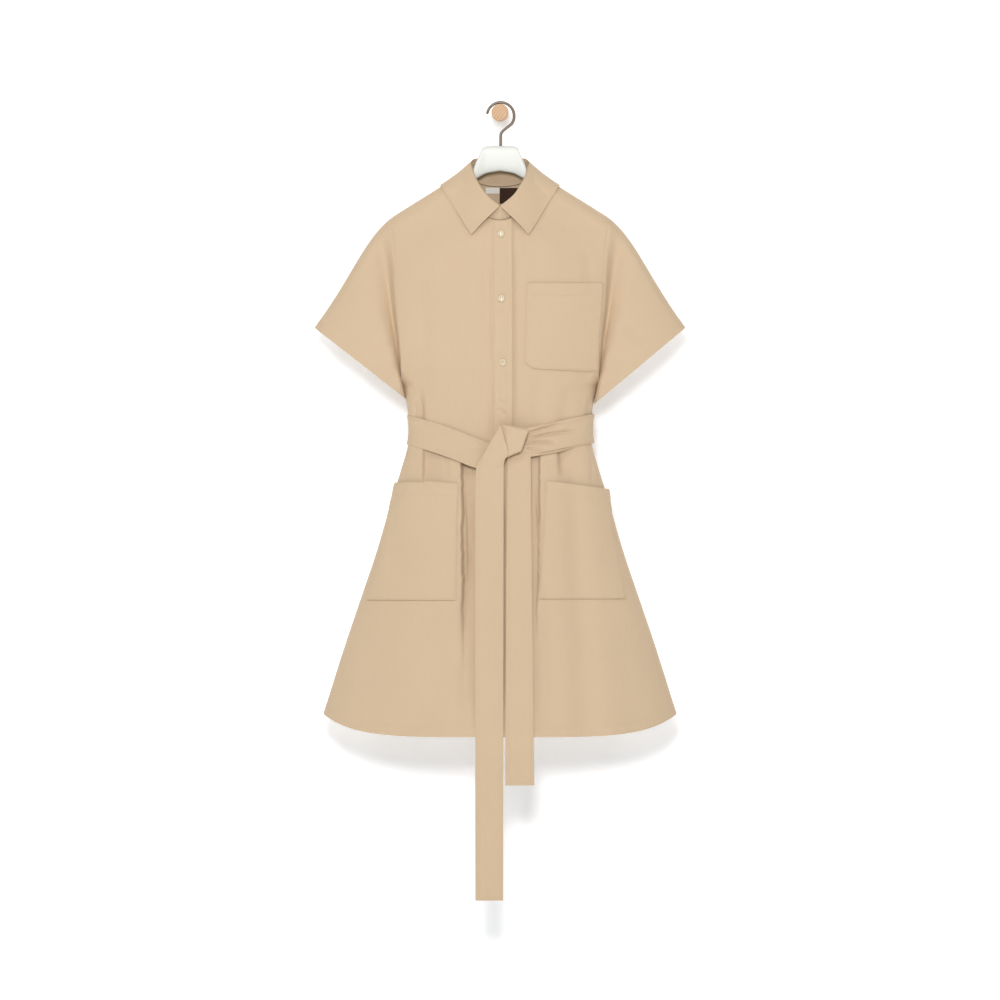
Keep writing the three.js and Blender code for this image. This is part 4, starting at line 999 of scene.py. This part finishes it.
def collar_stand_grid(cols=170, rows=14):
    start = math.asin(STAND_END / NECK_HALF)
    angle = mix(start - 2 * math.pi + 0.012, start, np.linspace(0, 1, cols))
    turned = np.where(angle < -math.pi, angle + 2 * math.pi, angle)
    x = NECK_HALF * np.sin(turned)
    front = np.cos(turned) > 0
    z = np.where(front, neck_top(-1, x), neck_top(1, x))
    y = np.where(front, -depth(-1, x, z), depth(1, x, z))
    base = np.stack([x, HANG_Y + y, z], -1)
    inward = np.stack([-x, -y, 0 * x], -1)
    inward /= np.linalg.norm(inward, axis=-1, keepdims=True)
    a = np.abs(turned) / math.pi
    top = fold_point(np.clip(np.where(a < 0.5, a * 1.2, 0.6 + (a - 0.5) * 0.8), 0, 1))
    top[:, 0] *= np.where(turned < 0, -1, 1)
    base += inward * 1.7 + [0, 0, 0.9]
    top += inward * 0.7 + [0, 0, -1.2]
    v = np.linspace(0, 1, rows)[:, None, None]
    return mix(base[None], top[None], v)


stand = collar_stand_grid()
stand_out = outward_of(stand, NECK_MIDDLE) * [1, 1, 0]
dress(shell("collar_stand_cloth", lifted(stand, stand_out, 0.5), stand_out, STAND_THICK), ["collar_stand"])

# %% [markdown]
# ## Belt
# One long strip of doubled cloth goes round the waist, dips to a knot in front and hangs down in two
# ends. A curve with a flat profile would twist at the sides, so the band is one ring of points, and
# its weave and stitching run on without a seam. Creases fan out from the knot, where it is gathered.

# %% Measures of the belt
BELT_WIDTH = 47.0
BELT_THICK = 1.7
BAND_LEVEL = 2.0               # outer face of the band, added to its lift off the cloth
BELT_LINE_HALF = 147.0         # half the waist's width, where the belt's line ends
BELT_BACK_Z = -503.0
BELT_LINE = np.array([(-148, -508.5), (-105, -520), (-70, -532), (-38, -545), (-10, -553), (14, -541),
                      (33, -531.5), (50, -527.5), (80, -521.5), (105, -515.5), (148, -506)], float)
BELT_CREASES = [
    (34, -519, 98, -499, 2, 1.6, 3.0, 4.6),
    (34, -526, 128, -511, 3, 1.6, 3.4, 4.8),
    (34, -532, 92, -530, 2, 1.6, 3.2, 4.2),
    (36, -538, 76, -543, 1, 1.5, 2.6, 2.6),
    (40, -550.5, 162, -525.5, -1, 1.3, 1.3, 3.6),
    (60, -512, 140, -498, 2, 5, 7, 0.9),
    (4, -536, -40, -533, -3, 4, 6, 1.8),
    (2, -546, -64, -544, -3, 3, 6, 1.6),
    (-30, -552, -96, -534, 2, 4, 7, 1.2),
    (-60, -524, -130, -508, 2, 6, 8, 0.8),
]
print("creases of the band:", len(BELT_CREASES))


# %% Path of the band
def belt_height(angle):
    across, ahead = np.sin(angle), np.cos(angle)
    front = curve_through(BELT_LINE[:, 0], BELT_LINE[:, 1], BELT_LINE_HALF * across)
    side_z = np.where(across > 0, BELT_LINE[-1, 1], BELT_LINE[0, 1])
    return np.where(ahead > 0, front, mix(side_z, BELT_BACK_Z, ahead**2))


def belt_lift(angle):
    return 2.2 + 2.6 * np.maximum(0, np.cos(angle)) ** 6


def belt_point(angle, up):
    z = belt_height(angle) + up
    crown = np.maximum(0, 1 - np.abs(np.sin(angle)) ** CROWN) ** (1 / body("round", z))
    ahead = np.cos(angle) > 0
    y = np.where(ahead, -body("front", z), body("back", z)) * crown
    return np.stack([body("half", z) * np.sin(angle), HANG_Y + y, z], -1)


# %% Belt band
BAND_DRAWN_UP = 14.0           # the band's lower edge is drawn up into the knot


def drawn_up(x):
    return BAND_DRAWN_UP * smooth((x - 3) / 6) * (1 - smooth((x - 22) / 26))


def belt_grid(cols=300, rows=42):
    angle = np.linspace(0, 2 * np.pi, cols, endpoint=False)[None, :]
    up = np.linspace(-0.5, 0.5, rows)[:, None] * BELT_WIDTH
    in_front = np.cos(angle) > 0
    lift = drawn_up(body("half", WAIST_Z) * np.sin(angle)) * in_front
    points = belt_point(angle, up + lift * (0.5 - up / BELT_WIDTH))
    out = np.stack([np.sin(angle), -np.cos(angle), 0 * angle], -1)
    edge = BELT_WIDTH / 2 - np.abs(up)
    level = belt_lift(angle) + BAND_LEVEL - pressed(edge, 0.5, 1.3) + puffed(edge, 0.3, 1.5, 4, 1.5)
    creased = crease_depth(BELT_CREASES, points[..., 0], points[..., 2]) * in_front
    snug = 2.4 * smooth(-np.sin(angle) * 2 - 1)
    return points + out * (level - creased - snug)[..., None]


belt = belt_grid()
belt_out = outward_of(belt, belt.mean((0, 1))) * [1, 1, 0]
dress(shell("belt_band_cloth", belt, belt_out, BELT_THICK, ring=True), ["belt_band"])


# %% [markdown]
# ## Knot and hanging ends
# A flat knot in a wide belt is one thick fold of cloth with a strip coming out of each side. It could
# be a simulation of cloth pulled tight, but a closed swelling with listed creases keeps the four
# corners where the photo shows them. The ends are grids that hang straight down from it.

# %% Closed forms
def closed_form(name, rings, material):
    """A closed piece through rings of points, with a fan of faces over each end."""
    rings = np.asarray(rings, float)
    rows, cols = rings.shape[:2]
    ids = wrapped(numbered(rows, cols))
    lengths = cloth_lengths(rings, True)
    uv = lengths.reshape(-1, 2)[quads_of(numbered(*lengths.shape[:2])).ravel()].tolist()
    vertices = np.concatenate([rings.reshape(-1, 3), rings[[0, -1]].mean(1)])
    faces = quads_of(ids).tolist()
    for end, hub in ((0, rows * cols), (rows - 1, rows * cols + 1)):
        for k in range(cols):
            a, b = int(ids[end, k]), int(ids[end, k + 1])
            faces.append((hub, a, b) if end else (hub, b, a))
            spot = rings[end, k] * MM
            uv += [[spot[0], spot[2]]] * 3
    made = linked(name, vertices, faces, material, uv)
    shape = bmesh.new()
    shape.from_mesh(made.data)
    bmesh.ops.recalc_face_normals(shape, faces=shape.faces)
    shape.to_mesh(made.data)
    shape.free()
    made.data.set_sharp_from_angle(angle=SHARP_EDGE)
    return made


# %% Knot
def band_face(x, z):
    """Outer face of the band in front of a point."""
    angle = np.arcsin(x / body("half", z))
    up = np.clip(z - belt_height(angle), -BELT_WIDTH / 2, BELT_WIDTH / 2)
    return belt_point(angle, up)[..., 1] - belt_lift(angle) - BAND_LEVEL


def outermost(places):
    return min(float(band_face(np.float64(x), np.float64(z))) for x, z in places)


KNOT_OUTLINE = np.array([(1.5, -498.5), (46.5, -508.5), (34.5, -543), (3, -556)], float)
KNOT_THICK = 12.0
KNOT_BACK = outermost(KNOT_OUTLINE) - 0.35
KNOT_CREASES = [
    (8, -505, 34, -536, 3, 4, 7, 0.7),
    (26, -503, 41, -520, 2, 2.5, 4, 1.2),
    (10, -530, 26, -543, 2, 3, 5, 0.8),
]


def knot_rings():
    per_side = 16
    corners = np.concatenate([KNOT_OUTLINE, KNOT_OUTLINE[:1]])
    u = np.linspace(0, 1, per_side, endpoint=False)[:, None]
    line = np.concatenate([mix(corners[k], corners[k + 1], u) for k in range(4)])
    line = line + 0.5 * (np.roll(line, 1, 0) + np.roll(line, -1, 0) - 2 * line)
    centre = KNOT_OUTLINE.mean(0)
    rings = []
    profile = [(0.4, 0.0), (0.9, 0.0), (0.97, 0.08), (1.0, 0.3), (1.0, 0.55), (0.985, 0.75),
               (0.95, 0.88), (0.88, 0.95), (0.78, 0.985), (0.66, 1.0), (0.52, 1.0), (0.38, 1.0),
               (0.24, 1.0), (0.1, 1.0)]
    for reach, rise in profile:
        flat = centre + (line - centre) * reach
        swell = mix(0.45, 1, smooth(flat[:, 0] / 16))
        creased = crease_depth(KNOT_CREASES, flat[:, 0], flat[:, 1]) * (rise > 0.8)
        y = KNOT_BACK - KNOT_THICK * rise * swell + creased
        rings.append(np.stack([flat[:, 0], y, flat[:, 1]], -1))
    return rings


dress(closed_form("belt_knot_cloth", knot_rings(), CLOTH), ["belt_knot"])

# %% Measures of the belt ends
# The long end turns down out of the knot's face, the short one from between the band and the skirt.
TAIL_HEM_Y = HANG_Y - 89.2
LONG_TURN = np.array([          # left x and z, right x and z, distance in front of the band
    (0.6, -500.5, 14, -547, 9.6), (-7, -514, 13, -550, 9.2), (-15, -528, 8, -556, 7.6),
    (-27, -549, 6.2, -565, 4.6), (-38, -569.5, 6, -574, 2.0)], float)
LONG_TAIL = dict(left=-40, right=6, end_left=-39.5, end_right=5, top=-590, end=-1261)
SHORT_TAIL = dict(left=11, right=49, end_left=8, end_right=55, top=-542, end=-1077)
BELT_LEVEL = 1.0
BEHIND_BAND = 3.0              # the short end's top in front of the skirt's own line
TAIL_SIZES = {"belt_end_long": (44, 720), "belt_end_short": (42, 527)}


# %% A hanging strip
def tail_y(start_z, start_y, z):
    down = np.clip((start_z - z) / (start_z - HEM_Z), 0, 1) ** 0.8
    return mix(start_y, TAIL_HEM_Y, down)


def strip_level(u, v, wide, tall):
    """Rounded folded edges, with the stitched rim a little thicker."""
    edge = np.minimum(np.minimum(u, 1 - u) * wide, (1 - v) * tall)
    return puffed(edge, 0.3, 1.5, 4, 1.5) - pressed(edge, 0.5, 1.2)


def strip_x(t, u, v):
    """Across a belt end, from its left to its right edge, as they spread on the way down."""
    return mix(mix(t["left"], t["right"], u), mix(t["end_left"], t["end_right"], u), v)


# %% Long end
def long_tail_grid(cols=26, rows=170):
    u = np.linspace(0, 1, cols)[None, :]
    band_out = outermost([(-38, -572), (-20, -574), (0, -574)])
    turn_y = band_out - LONG_TURN[-1, 4]
    t = LONG_TAIL
    top_row = (t["left"], t["top"], t["right"], t["top"],
               band_out - float(tail_y(t["top"] + 16.0, turn_y, t["top"])))
    table = np.concatenate([LONG_TURN, [top_row]])
    at = np.linspace(0, 5, 42)
    lx, lz, rx, rz, out = (curve_through(np.arange(6), table[:, k], at)[:, None] for k in range(5))
    turn = np.stack([mix(lx, rx, u), band_out - out + 0 * u, mix(lz, rz, u)], -1)
    v = np.linspace(0, 1, rows)[1:, None]
    z = mix(t["top"], t["end"], v) + 0 * u
    x = strip_x(t, u, v)
    y = tail_y(t["top"] + 16.0, turn_y, z)
    y = y + 1.2 * np.sin(v * 7.5) * smooth(v / 0.3) * (u - 0.5) * 2
    return np.concatenate([turn, np.stack([x, y, z], -1)])


# %% Short end
def short_tail_grid(cols=26, rows=150):
    u = np.linspace(0, 1, cols)[None, :]
    v = np.linspace(0, 1, rows)[:, None]
    t = SHORT_TAIL
    start_y = HANG_Y - float(body("front", np.float64(t["top"]))) - BEHIND_BAND
    z = mix(t["top"], t["end"], v) + 0 * u
    x = strip_x(t, u, v)
    y = tail_y(t["top"], start_y, z) + 1.2 * np.sin(v * 6 + 1) * smooth(v / 0.3) * (u - 0.5) * 2
    return np.stack([x, y, z + 8 * (1 - v) ** 3 * (u - 0.5)], -1)


# %% Hang both ends
tails = {}
for name, grid in (("belt_end_long", long_tail_grid()), ("belt_end_short", short_tail_grid())):
    u = np.linspace(0, 1, grid.shape[1])[None, :]
    v = np.linspace(0, 1, grid.shape[0])[:, None]
    tails[name] = lifted(grid, FORWARD, BELT_LEVEL + strip_level(u, v, *TAIL_SIZES[name]))
    dress(shell(name + "_cloth", tails[name], FORWARD, BELT_THICK), [name])

# %% [markdown]
# ## Hanger, hook and peg
# The hanger is one moulding of white plastic with a satin skin, and its hook is bent steel wire. The
# peg is a turned beech dowel that sticks out of the wall. Boxes with rounded edges would miss the
# hanger's changing section, so each is a row of closed sections, finer where the form turns.


# %% Their materials
def moulded_plastic(name, hex_colour, roughness):
    """Moulded plastic: an even colour, a soft highlight and a very faint orange-peel skin."""
    material, tree, shader = finish_named(name, {"Roughness": roughness})
    place = node(tree, "ShaderNodeTexCoord").outputs["Object"]
    colour = linear(hex_colour)
    two_toned(tree, shader, noise(tree, place, 30.0), colour, tinted(colour, 0.96))
    bumped(tree, shader, [(noise(tree, place, 900.0), 0.08, 0.05 * MM)])
    return material


def bent_wire(name, hex_colour):
    """Drawn and plated steel wire: a grey-brown metal with fine scratches along the wire."""
    material, tree, shader = finish_named(name, {
        "Base Color": linear(hex_colour), "Metallic": 1.0, "Roughness": 0.45})
    uv = node(tree, "ShaderNodeUVMap", uv_map="cloth").outputs[0]
    stretch = node(tree, "ShaderNodeMapping", {"Vector": uv}, {"Scale": (4000, 60, 1)}).outputs[0]
    bumped(tree, shader, [(noise(tree, stretch, 1.0), 0.1, 0.05 * MM)])
    return material


def turned_beech(name, light, dark):
    """Turned beech: pale wood with slanting growth rings on its sawn end."""
    material, tree, shader = finish_named(name, {"Roughness": 0.6})
    place = node(tree, "ShaderNodeTexCoord").outputs["Object"]
    slant = node(tree, "ShaderNodeMapping", {"Vector": place},
                 {"Rotation": (0, math.radians(-40), 0), "Scale": (1, 0.08, 1)}).outputs[0]
    rings = node(tree, "ShaderNodeTexWave", {"Vector": slant},
                 {"Scale": 75.0, "Distortion": 3.0, "Detail": 3.0, "Detail Scale": 1.2},
                 bands_direction="X").outputs["Fac"]
    two_toned(tree, shader, rings, linear(light), linear(dark))
    bumped(tree, shader, [(rings, 0.2, 0.1 * MM)])
    return material


WHITE_PLASTIC = moulded_plastic("white_satin_plastic", "#dfe0da", 0.4)
BUTTON_PLASTIC = moulded_plastic("horn_white_button_resin", "#d8c8ac", 0.28)
HOOK_STEEL = bent_wire("plated_steel_wire", "#7b7267")
BEECH = turned_beech("turned_beech", "#d3b08c", "#c19a73")
print("materials:", len(bpy.data.materials))

# %% Hanger body
HANGER = np.array([             # x, top, bottom, half thickness
    (0, -54, -94, 8), (22, -54.2, -98, 8), (29, -57, -101.5, 8.5), (33, -68, -104, 9),
    (38, -79, -107, 9.5), (44, -92, -113, 9.5), (49, -99.5, -120, 9.5), (56, -102.5, -127, 10),
    (66, -105, -134, 12), (80, -112.1, -144, 14), (120, -137.1, -169, 15), (158, -160.9, -190, 15),
    (168, -168.6, -192, 13), (172, -175.5, -188, 8)], float)


def hanger_rings(around=40):
    half = np.unique(np.concatenate([np.linspace(0, 172, 90), [22, 25, 27, 29, 31, 33, 171.6]]))
    x = np.concatenate([-half[:0:-1], half])
    top, bottom, thick = (curve_through(HANGER[:, 0], HANGER[:, k], np.abs(x)) for k in (1, 2, 3))
    shrink = np.where(np.abs(x) > 171.9, 0.8, np.where(np.abs(x) > 171.5, 0.94, 1.0))
    angle = np.linspace(0, 2 * np.pi, around, endpoint=False)
    boxy = smooth((50 - np.abs(x)) / 12)[:, None]

    def squared(wave, power):
        return np.sign(wave)[None] * np.abs(wave)[None] ** mix(0.95, power, boxy)

    middle, reach = (top + bottom) / 2, (top - bottom) / 2 * shrink
    y = HANG_Y - (thick * shrink)[:, None] * squared(np.sin(angle), 0.45)
    z = middle[:, None] + reach[:, None] * squared(np.cos(angle), 0.45)
    return np.stack([np.broadcast_to(x[:, None], y.shape), y, z], -1)


dress(closed_form("hanger_moulding", hanger_rings(), WHITE_PLASTIC), ["hanger_body"])


# %% Hook
def tube_rings(path, radii, around=20):
    """Rings round a flat path in the hanger's plane."""
    ahead = np.gradient(path, axis=0)
    ahead /= np.linalg.norm(ahead, axis=1, keepdims=True)
    side = np.cross(ahead, [0, 1, 0])
    angle = np.linspace(0, 2 * np.pi, around, endpoint=False)[None, :, None]
    ring = side[:, None] * np.cos(angle) + np.array([0, 1.0, 0]) * np.sin(angle)
    return path[:, None] + ring * np.asarray(radii)[:, None, None]


WIRE = 2.25                    # the wire's radius
HOOK_RADIUS = 21.8
HOOK_CENTRE = (1.0, -5.85)
HOOK_BEND = [(11.2, -24.6), (4.4, -30.3), (1.5, -34.7), (1.0, -38.5)]
angles = np.radians(np.linspace(172, -36, 60))
bow = HOOK_CENTRE + HOOK_RADIUS * np.stack([np.cos(angles), np.sin(angles)], -1)
bend_keys = np.concatenate([bow[-1:], HOOK_BEND])
bend_t = np.linspace(0, 4, 28)[1:]
bend = np.stack([curve_through(np.arange(5), bend_keys[:, k], bend_t) for k in (0, 1)], -1)
stem = np.stack([np.full(12, 1.0), np.linspace(-40, -76, 12)], -1)
flat_path = np.concatenate([bow, bend, stem])
hook_path = np.insert(flat_path, 1, HANG_Y, axis=1)
hook_radii = np.full(len(hook_path), WIRE)
hook_radii[:3] = WIRE * np.array([0.55, 0.85, 0.97])
dress(closed_form("hook_wire", tube_rings(hook_path, hook_radii), HOOK_STEEL), ["hanger_hook"])

# %% Peg
PEG_RADIUS, PEG_LENGTH, PEG_BEVEL = 13.5, 94.0, 1.2
peg_profile = [(PEG_RADIUS, 0), (PEG_RADIUS, PEG_LENGTH * 0.5), (PEG_RADIUS, PEG_LENGTH - PEG_BEVEL),
               (PEG_RADIUS - 0.35 * PEG_BEVEL, PEG_LENGTH - 0.3 * PEG_BEVEL),
               (PEG_RADIUS - PEG_BEVEL, PEG_LENGTH), (PEG_RADIUS * 0.5, PEG_LENGTH)]
turn = np.linspace(0, 2 * np.pi, 64, endpoint=False)
peg_rings = [np.stack([r * np.cos(turn), np.full(64, -along), r * np.sin(turn)], -1)
             for r, along in peg_profile]
dress(closed_form("peg_dowel", peg_rings, BEECH), ["wall_peg"])


# %% [markdown]
# ## Labels
# Two woven labels are sewn inside the back of the neck: a white tape and a dark patch that hangs
# below it. A flat plane would cut into the curved back, so both are short grids that follow it at a
# small distance. Their faces are bare.

# %% Labels in the neck
LABEL_LEVEL = 1.35             # a label's face in front of the middle of the bodice's back


def label_grid(left, right, top, bottom, lift):
    x = np.linspace(left, right, 24)[None, :]
    z = np.linspace(bottom, top, 12)[:, None]
    y = HANG_Y + depth(1, x, z) - LABEL_LEVEL - lift
    return np.stack(np.broadcast_arrays(x, y, z), -1)


WHITE_TAPE = cotton("white_woven_tape", "#e9e5dd")
DARK_PATCH = cotton("dark_brown_woven_patch", "#3a2519")
dress(shell("neck_tape", label_grid(-23, 23, -120.6, -130, 0), FORWARD, 0.5, material=WHITE_TAPE),
      ["neck_label"])
dress(shell("size_patch", label_grid(-0.6, 29.5, -120.8, -146, 1.2), FORWARD, 0.5,
            material=DARK_PATCH), ["size_label"])

# %% [markdown]
# ## Buttons
# A shirt button is turned from resin: a disc with a rim, a dished face and four holes, sewn on with
# two bars of thread. Painted holes would look flat from the side, so they are cut with a Boolean, once,
# and the button is copied to each place, square to the placket.

# %% Button blank
BUTTON_RADIUS, BUTTON_RIM, BUTTON_DISH = 5.7, 2.6, 1.7
HOLE_RADIUS, HOLE_PITCH = 0.75, 1.5
BAR_RADIUS = 0.42              # of a bar of thread
BUTTONS = [(1.0, -195.0), (2.2, -298.5), (4.2, -400.0)]


def lathe_rings(profile, around):
    a = np.linspace(0, 2 * np.pi, around, endpoint=False)
    return np.array([np.stack([r * np.cos(a), r * np.sin(a), np.full(around, h)], -1) for r, h in profile])


blank = closed_form("button_blank", lathe_rings(
    [(2.0, 0), (4.5, 0), (5.3, 0.35), (BUTTON_RADIUS, 0.95), (BUTTON_RADIUS, 1.8), (5.55, 2.3),
     (5.15, BUTTON_RIM), (4.7, 2.5), (4.2, 2.1), (3.6, 1.8), (3.0, BUTTON_DISH), (1.0, BUTTON_DISH)], 48),
    BUTTON_PLASTIC)
drills = []
for sx in (-1, 1):
    for sz in (-1, 1):
        rings = lathe_rings([(HOLE_RADIUS, -1), (HOLE_RADIUS, 4)], 14)
        rings[..., :2] += [sx * HOLE_PITCH, sz * HOLE_PITCH]
        drills.append(closed_form("drill", rings, BUTTON_PLASTIC))
for drill in drills:
    cut = blank.modifiers.new("hole", "BOOLEAN")
    cut.operation = "DIFFERENCE"
    cut.solver = "EXACT"
    cut.object = drill
graph = bpy.context.evaluated_depsgraph_get()
button_mesh = bpy.data.meshes.new_from_object(blank.evaluated_get(graph), depsgraph=graph)
for used in [blank, *drills]:
    bpy.data.objects.remove(used)
print("button faces:", len(button_mesh.polygons))


# %% Sewn on with thread
def thread_bar(sx):
    """One bar of thread over the button, from hole to hole."""
    t = np.linspace(0, np.pi, 9)
    path = np.stack([sx * HOLE_PITCH + 0 * t, -HOLE_PITCH * np.cos(t), BUTTON_DISH - 0.5 + np.sin(t)], -1)
    angle = np.linspace(0, 2 * np.pi, 8, endpoint=False)[None, :, None]
    ahead = np.gradient(path, axis=0)
    ahead /= np.linalg.norm(ahead, axis=1, keepdims=True)
    lift = np.cross(ahead, [1.0, 0, 0])
    ring = np.array([1.0, 0, 0]) * np.cos(angle) + lift[:, None] * np.sin(angle)
    return path[:, None] + BAR_RADIUS * ring


THREAD_MATERIAL = cotton("tonal_sewing_thread", "#d0ba9c")
for k, (x, z) in enumerate(BUTTONS):
    seat = on_body(-1, x, z, PLACKET_LEVEL + 0.1)
    face = on_body(-1, x, z, PLACKET_LEVEL + 1.1) - seat
    across = np.cross([0, 0, 1.0], face)
    across /= np.linalg.norm(across)
    basis = np.stack([-across, np.cross(face, -across), face], -1)
    made = placed(f"button_{k + 1}_turned", button_mesh.copy())
    spots = np.zeros(len(made.data.vertices) * 3)
    made.data.vertices.foreach_get("co", spots)
    spots = (spots.reshape(-1, 3) / MM) @ basis.T + seat
    made.data.vertices.foreach_set("co", (spots * MM).ravel())
    made.data.set_sharp_from_angle(angle=math.radians(35))
    dress(made, [f"button_{k + 1}"])
    for side_name, sx in (("a", -1), ("b", 1)):
        bar = closed_form(f"button_{k + 1}_thread_{side_name}", thread_bar(sx) @ basis.T + seat,
                          THREAD_MATERIAL)
        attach(bar, "root")

# %% [markdown]
# ## Topstitching
# The garment is sewn with a thread of its own colour. A stitch shows as a short raised grain of
# thread with a small gap to the next. A picture of stitches would blur close up, so Geometry Nodes
# lay one small ellipsoid at each step along lines drawn on the outer faces of the pieces.

# %% Stitch tree
STITCH_LENGTH, STITCH_GAP, STITCH_WIDTH = 2.3 * MM, 0.8 * MM, 0.62 * MM


def stitch_tree():
    tree = bpy.data.node_groups.new("Topstitch", "GeometryNodeTree")
    face = tree.interface
    face.new_socket("Seam lines", in_out="INPUT", socket_type="NodeSocketGeometry")
    for label, value in (("Stitch length", STITCH_LENGTH), ("Gap", STITCH_GAP), ("Width", STITCH_WIDTH)):
        face.new_socket(label, in_out="INPUT", socket_type="NodeSocketFloat").default_value = value
    face.new_socket("Thread", in_out="INPUT", socket_type="NodeSocketMaterial")
    face.new_socket("Stitches", in_out="OUTPUT", socket_type="NodeSocketGeometry")
    start = node(tree, "NodeGroupInput")
    pitch = node(tree, "ShaderNodeMath", {0: start.outputs[1], 1: start.outputs[2]}, operation="ADD")
    line = node(tree, "GeometryNodeMeshToCurve", {"Mesh": start.outputs[0]})
    steps = node(tree, "GeometryNodeResampleCurve", {"Curve": line.outputs[0], "Length": pitch.outputs[0]},
                 mode="LENGTH")
    tangent = node(tree, "GeometryNodeInputTangent")
    turn = node(tree, "FunctionNodeAlignRotationToVector", {"Vector": tangent.outputs[0]}, axis="X")
    grain = node(tree, "GeometryNodeMeshIcoSphere", values={"Radius": 0.5, "Subdivisions": 1})
    size = node(tree, "ShaderNodeCombineXYZ", {
        "X": start.outputs[1], "Y": start.outputs[3], "Z": start.outputs[3]})
    laid = node(tree, "GeometryNodeInstanceOnPoints", {
        "Points": steps.outputs[0], "Instance": grain.outputs[0], "Rotation": turn.outputs[0],
        "Scale": size.outputs[0]})
    real = node(tree, "GeometryNodeRealizeInstances", {"Geometry": laid.outputs[0]})
    rounded = node(tree, "GeometryNodeSetShadeSmooth", {"Geometry": real.outputs[0]})
    done = node(tree, "GeometryNodeSetMaterial",
                {"Geometry": rounded.outputs[0], "Material": start.outputs[4]})
    node(tree, "NodeGroupOutput", {0: done.outputs[0]})
    return tree


print("stitch and gap, mm:", round(STITCH_LENGTH / MM, 2), round(STITCH_GAP / MM, 2))


# %% Places on a grid
STITCH_LEVEL = 0.12            # thread's middle above the cloth


def on_grid(points, row, col):
    """Points between a grid's own, at fractional rows and columns."""
    row, col = np.broadcast_arrays(np.asarray(row, float), np.asarray(col, float))
    row = np.clip(row, 0, points.shape[0] - 1.001)
    col = np.clip(col, 0, points.shape[1] - 1.001)
    i, j = row.astype(int), col.astype(int)
    a, b = (row - i)[..., None], (col - j)[..., None]
    upper = mix(points[i, j], points[i, j + 1], b)
    return mix(upper, mix(points[i + 1, j], points[i + 1, j + 1], b), a)


def last(grid):
    """Numbers of a grid's last row and last column."""
    return grid.shape[0] - 1, grid.shape[1] - 1


def inside_edges(grid, inset, tall, wide):
    """A line inset from the left side, the bottom and the right side of a grid of a patch."""
    rows, cols = last(grid)
    down = np.linspace(rows, rows * inset / tall, 60)
    left, right = cols * inset / wide, cols * (1 - inset / wide)
    path = [on_grid(grid, down, left), on_grid(grid, rows * inset / tall, np.linspace(left, right, 60)),
            on_grid(grid, down[::-1], right)]
    return np.concatenate(path)


# %% Lines to sew
PLACKET_INSET, POCKET_INSET, END_INSET = 2.6, 2.4, 4.0
POCKET_SIZES = {"chest_pocket": (136, 118), "hip_pocket_right": (187, 120), "hip_pocket_left": (187, 130)}
LEAF_INSET = 0.075             # as a share of the leaf's depth, and the next of its length
LEAF_END_INSET = 0.014
seam_lines = []
for side in (-1, 1):
    across = np.sin(np.pi * (np.linspace(0.003, 0.997, 160) - 0.5))
    z = hem_z(across) + HEM_DEPTH
    seam_lines.append(on_body(side, body("half", z) * across, z, OUTER_LEVEL + STITCH_LEVEL))
placket_z = np.linspace(WAIST_Z + 3, -140, 150)
seam_lines.append(on_body(-1, PLACKET_LEFT + PLACKET_INSET, placket_z, PLACKET_LEVEL + STITCH_LEVEL - 0.1))
for name, (tall, wide) in POCKET_SIZES.items():
    grid = lifted(pocket_grids[name], FORWARD, STITCH_LEVEL)
    seam_lines.append(inside_edges(grid, POCKET_INSET, tall, wide))
    rows, cols = last(grid)
    across = np.linspace(cols * 0.02, cols * 0.98, 70)
    seam_lines.append(on_grid(grid, rows * (1 - POCKET_HEM / tall), across))
leaf = lifted(collar_leaf, leaf_out, STITCH_LEVEL)
rows, cols = last(leaf)
low_row, end_col = rows * (1 - LEAF_INSET), cols * LEAF_END_INSET
seam_lines.append(np.concatenate([
    on_grid(leaf, np.linspace(2, low_row, 40), end_col),
    on_grid(leaf, low_row, np.linspace(end_col, cols - end_col, 200)),
    on_grid(leaf, np.linspace(low_row, 2, 40), cols - end_col)]))
closed_belt = wrapped(belt + belt_out * STITCH_LEVEL)
rows, cols = last(closed_belt)
for share in (0.09, 0.91):
    seam_lines.append(on_grid(closed_belt, rows * share, np.linspace(0, cols, 400)))
for name, (wide, tall) in TAIL_SIZES.items():
    grid = lifted(tails[name], FORWARD, STITCH_LEVEL)[::-1]
    seam_lines.append(inside_edges(grid, END_INSET, tall, wide))
print("seam lines:", len(seam_lines))

# %% Sew them
line_edges, first = [], 0
for line in seam_lines:
    line_edges += [(first + k, first + k + 1) for k in range(len(line) - 1)]
    first += len(line)
line_mesh = bpy.data.meshes.new("seam_lines")
line_mesh.from_pydata((np.concatenate(seam_lines) * MM).tolist(), line_edges, [])
lines_object = placed("seam_lines", line_mesh)
sewing = lines_object.modifiers.new("sewing", "NODES")
sewing.node_group = stitch_tree()
for socket in sewing.node_group.interface.items_tree:
    if socket.in_out == "INPUT" and socket.name == "Thread":
        sewing[socket.identifier] = THREAD_MATERIAL
graph = bpy.context.evaluated_depsgraph_get()
stitch_mesh = bpy.data.meshes.new_from_object(lines_object.evaluated_get(graph), depsgraph=graph)
stitches = placed("topstitching", stitch_mesh)
bpy.data.objects.remove(lines_object)
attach(stitches, "root")
print("stitch faces:", len(stitch_mesh.polygons))
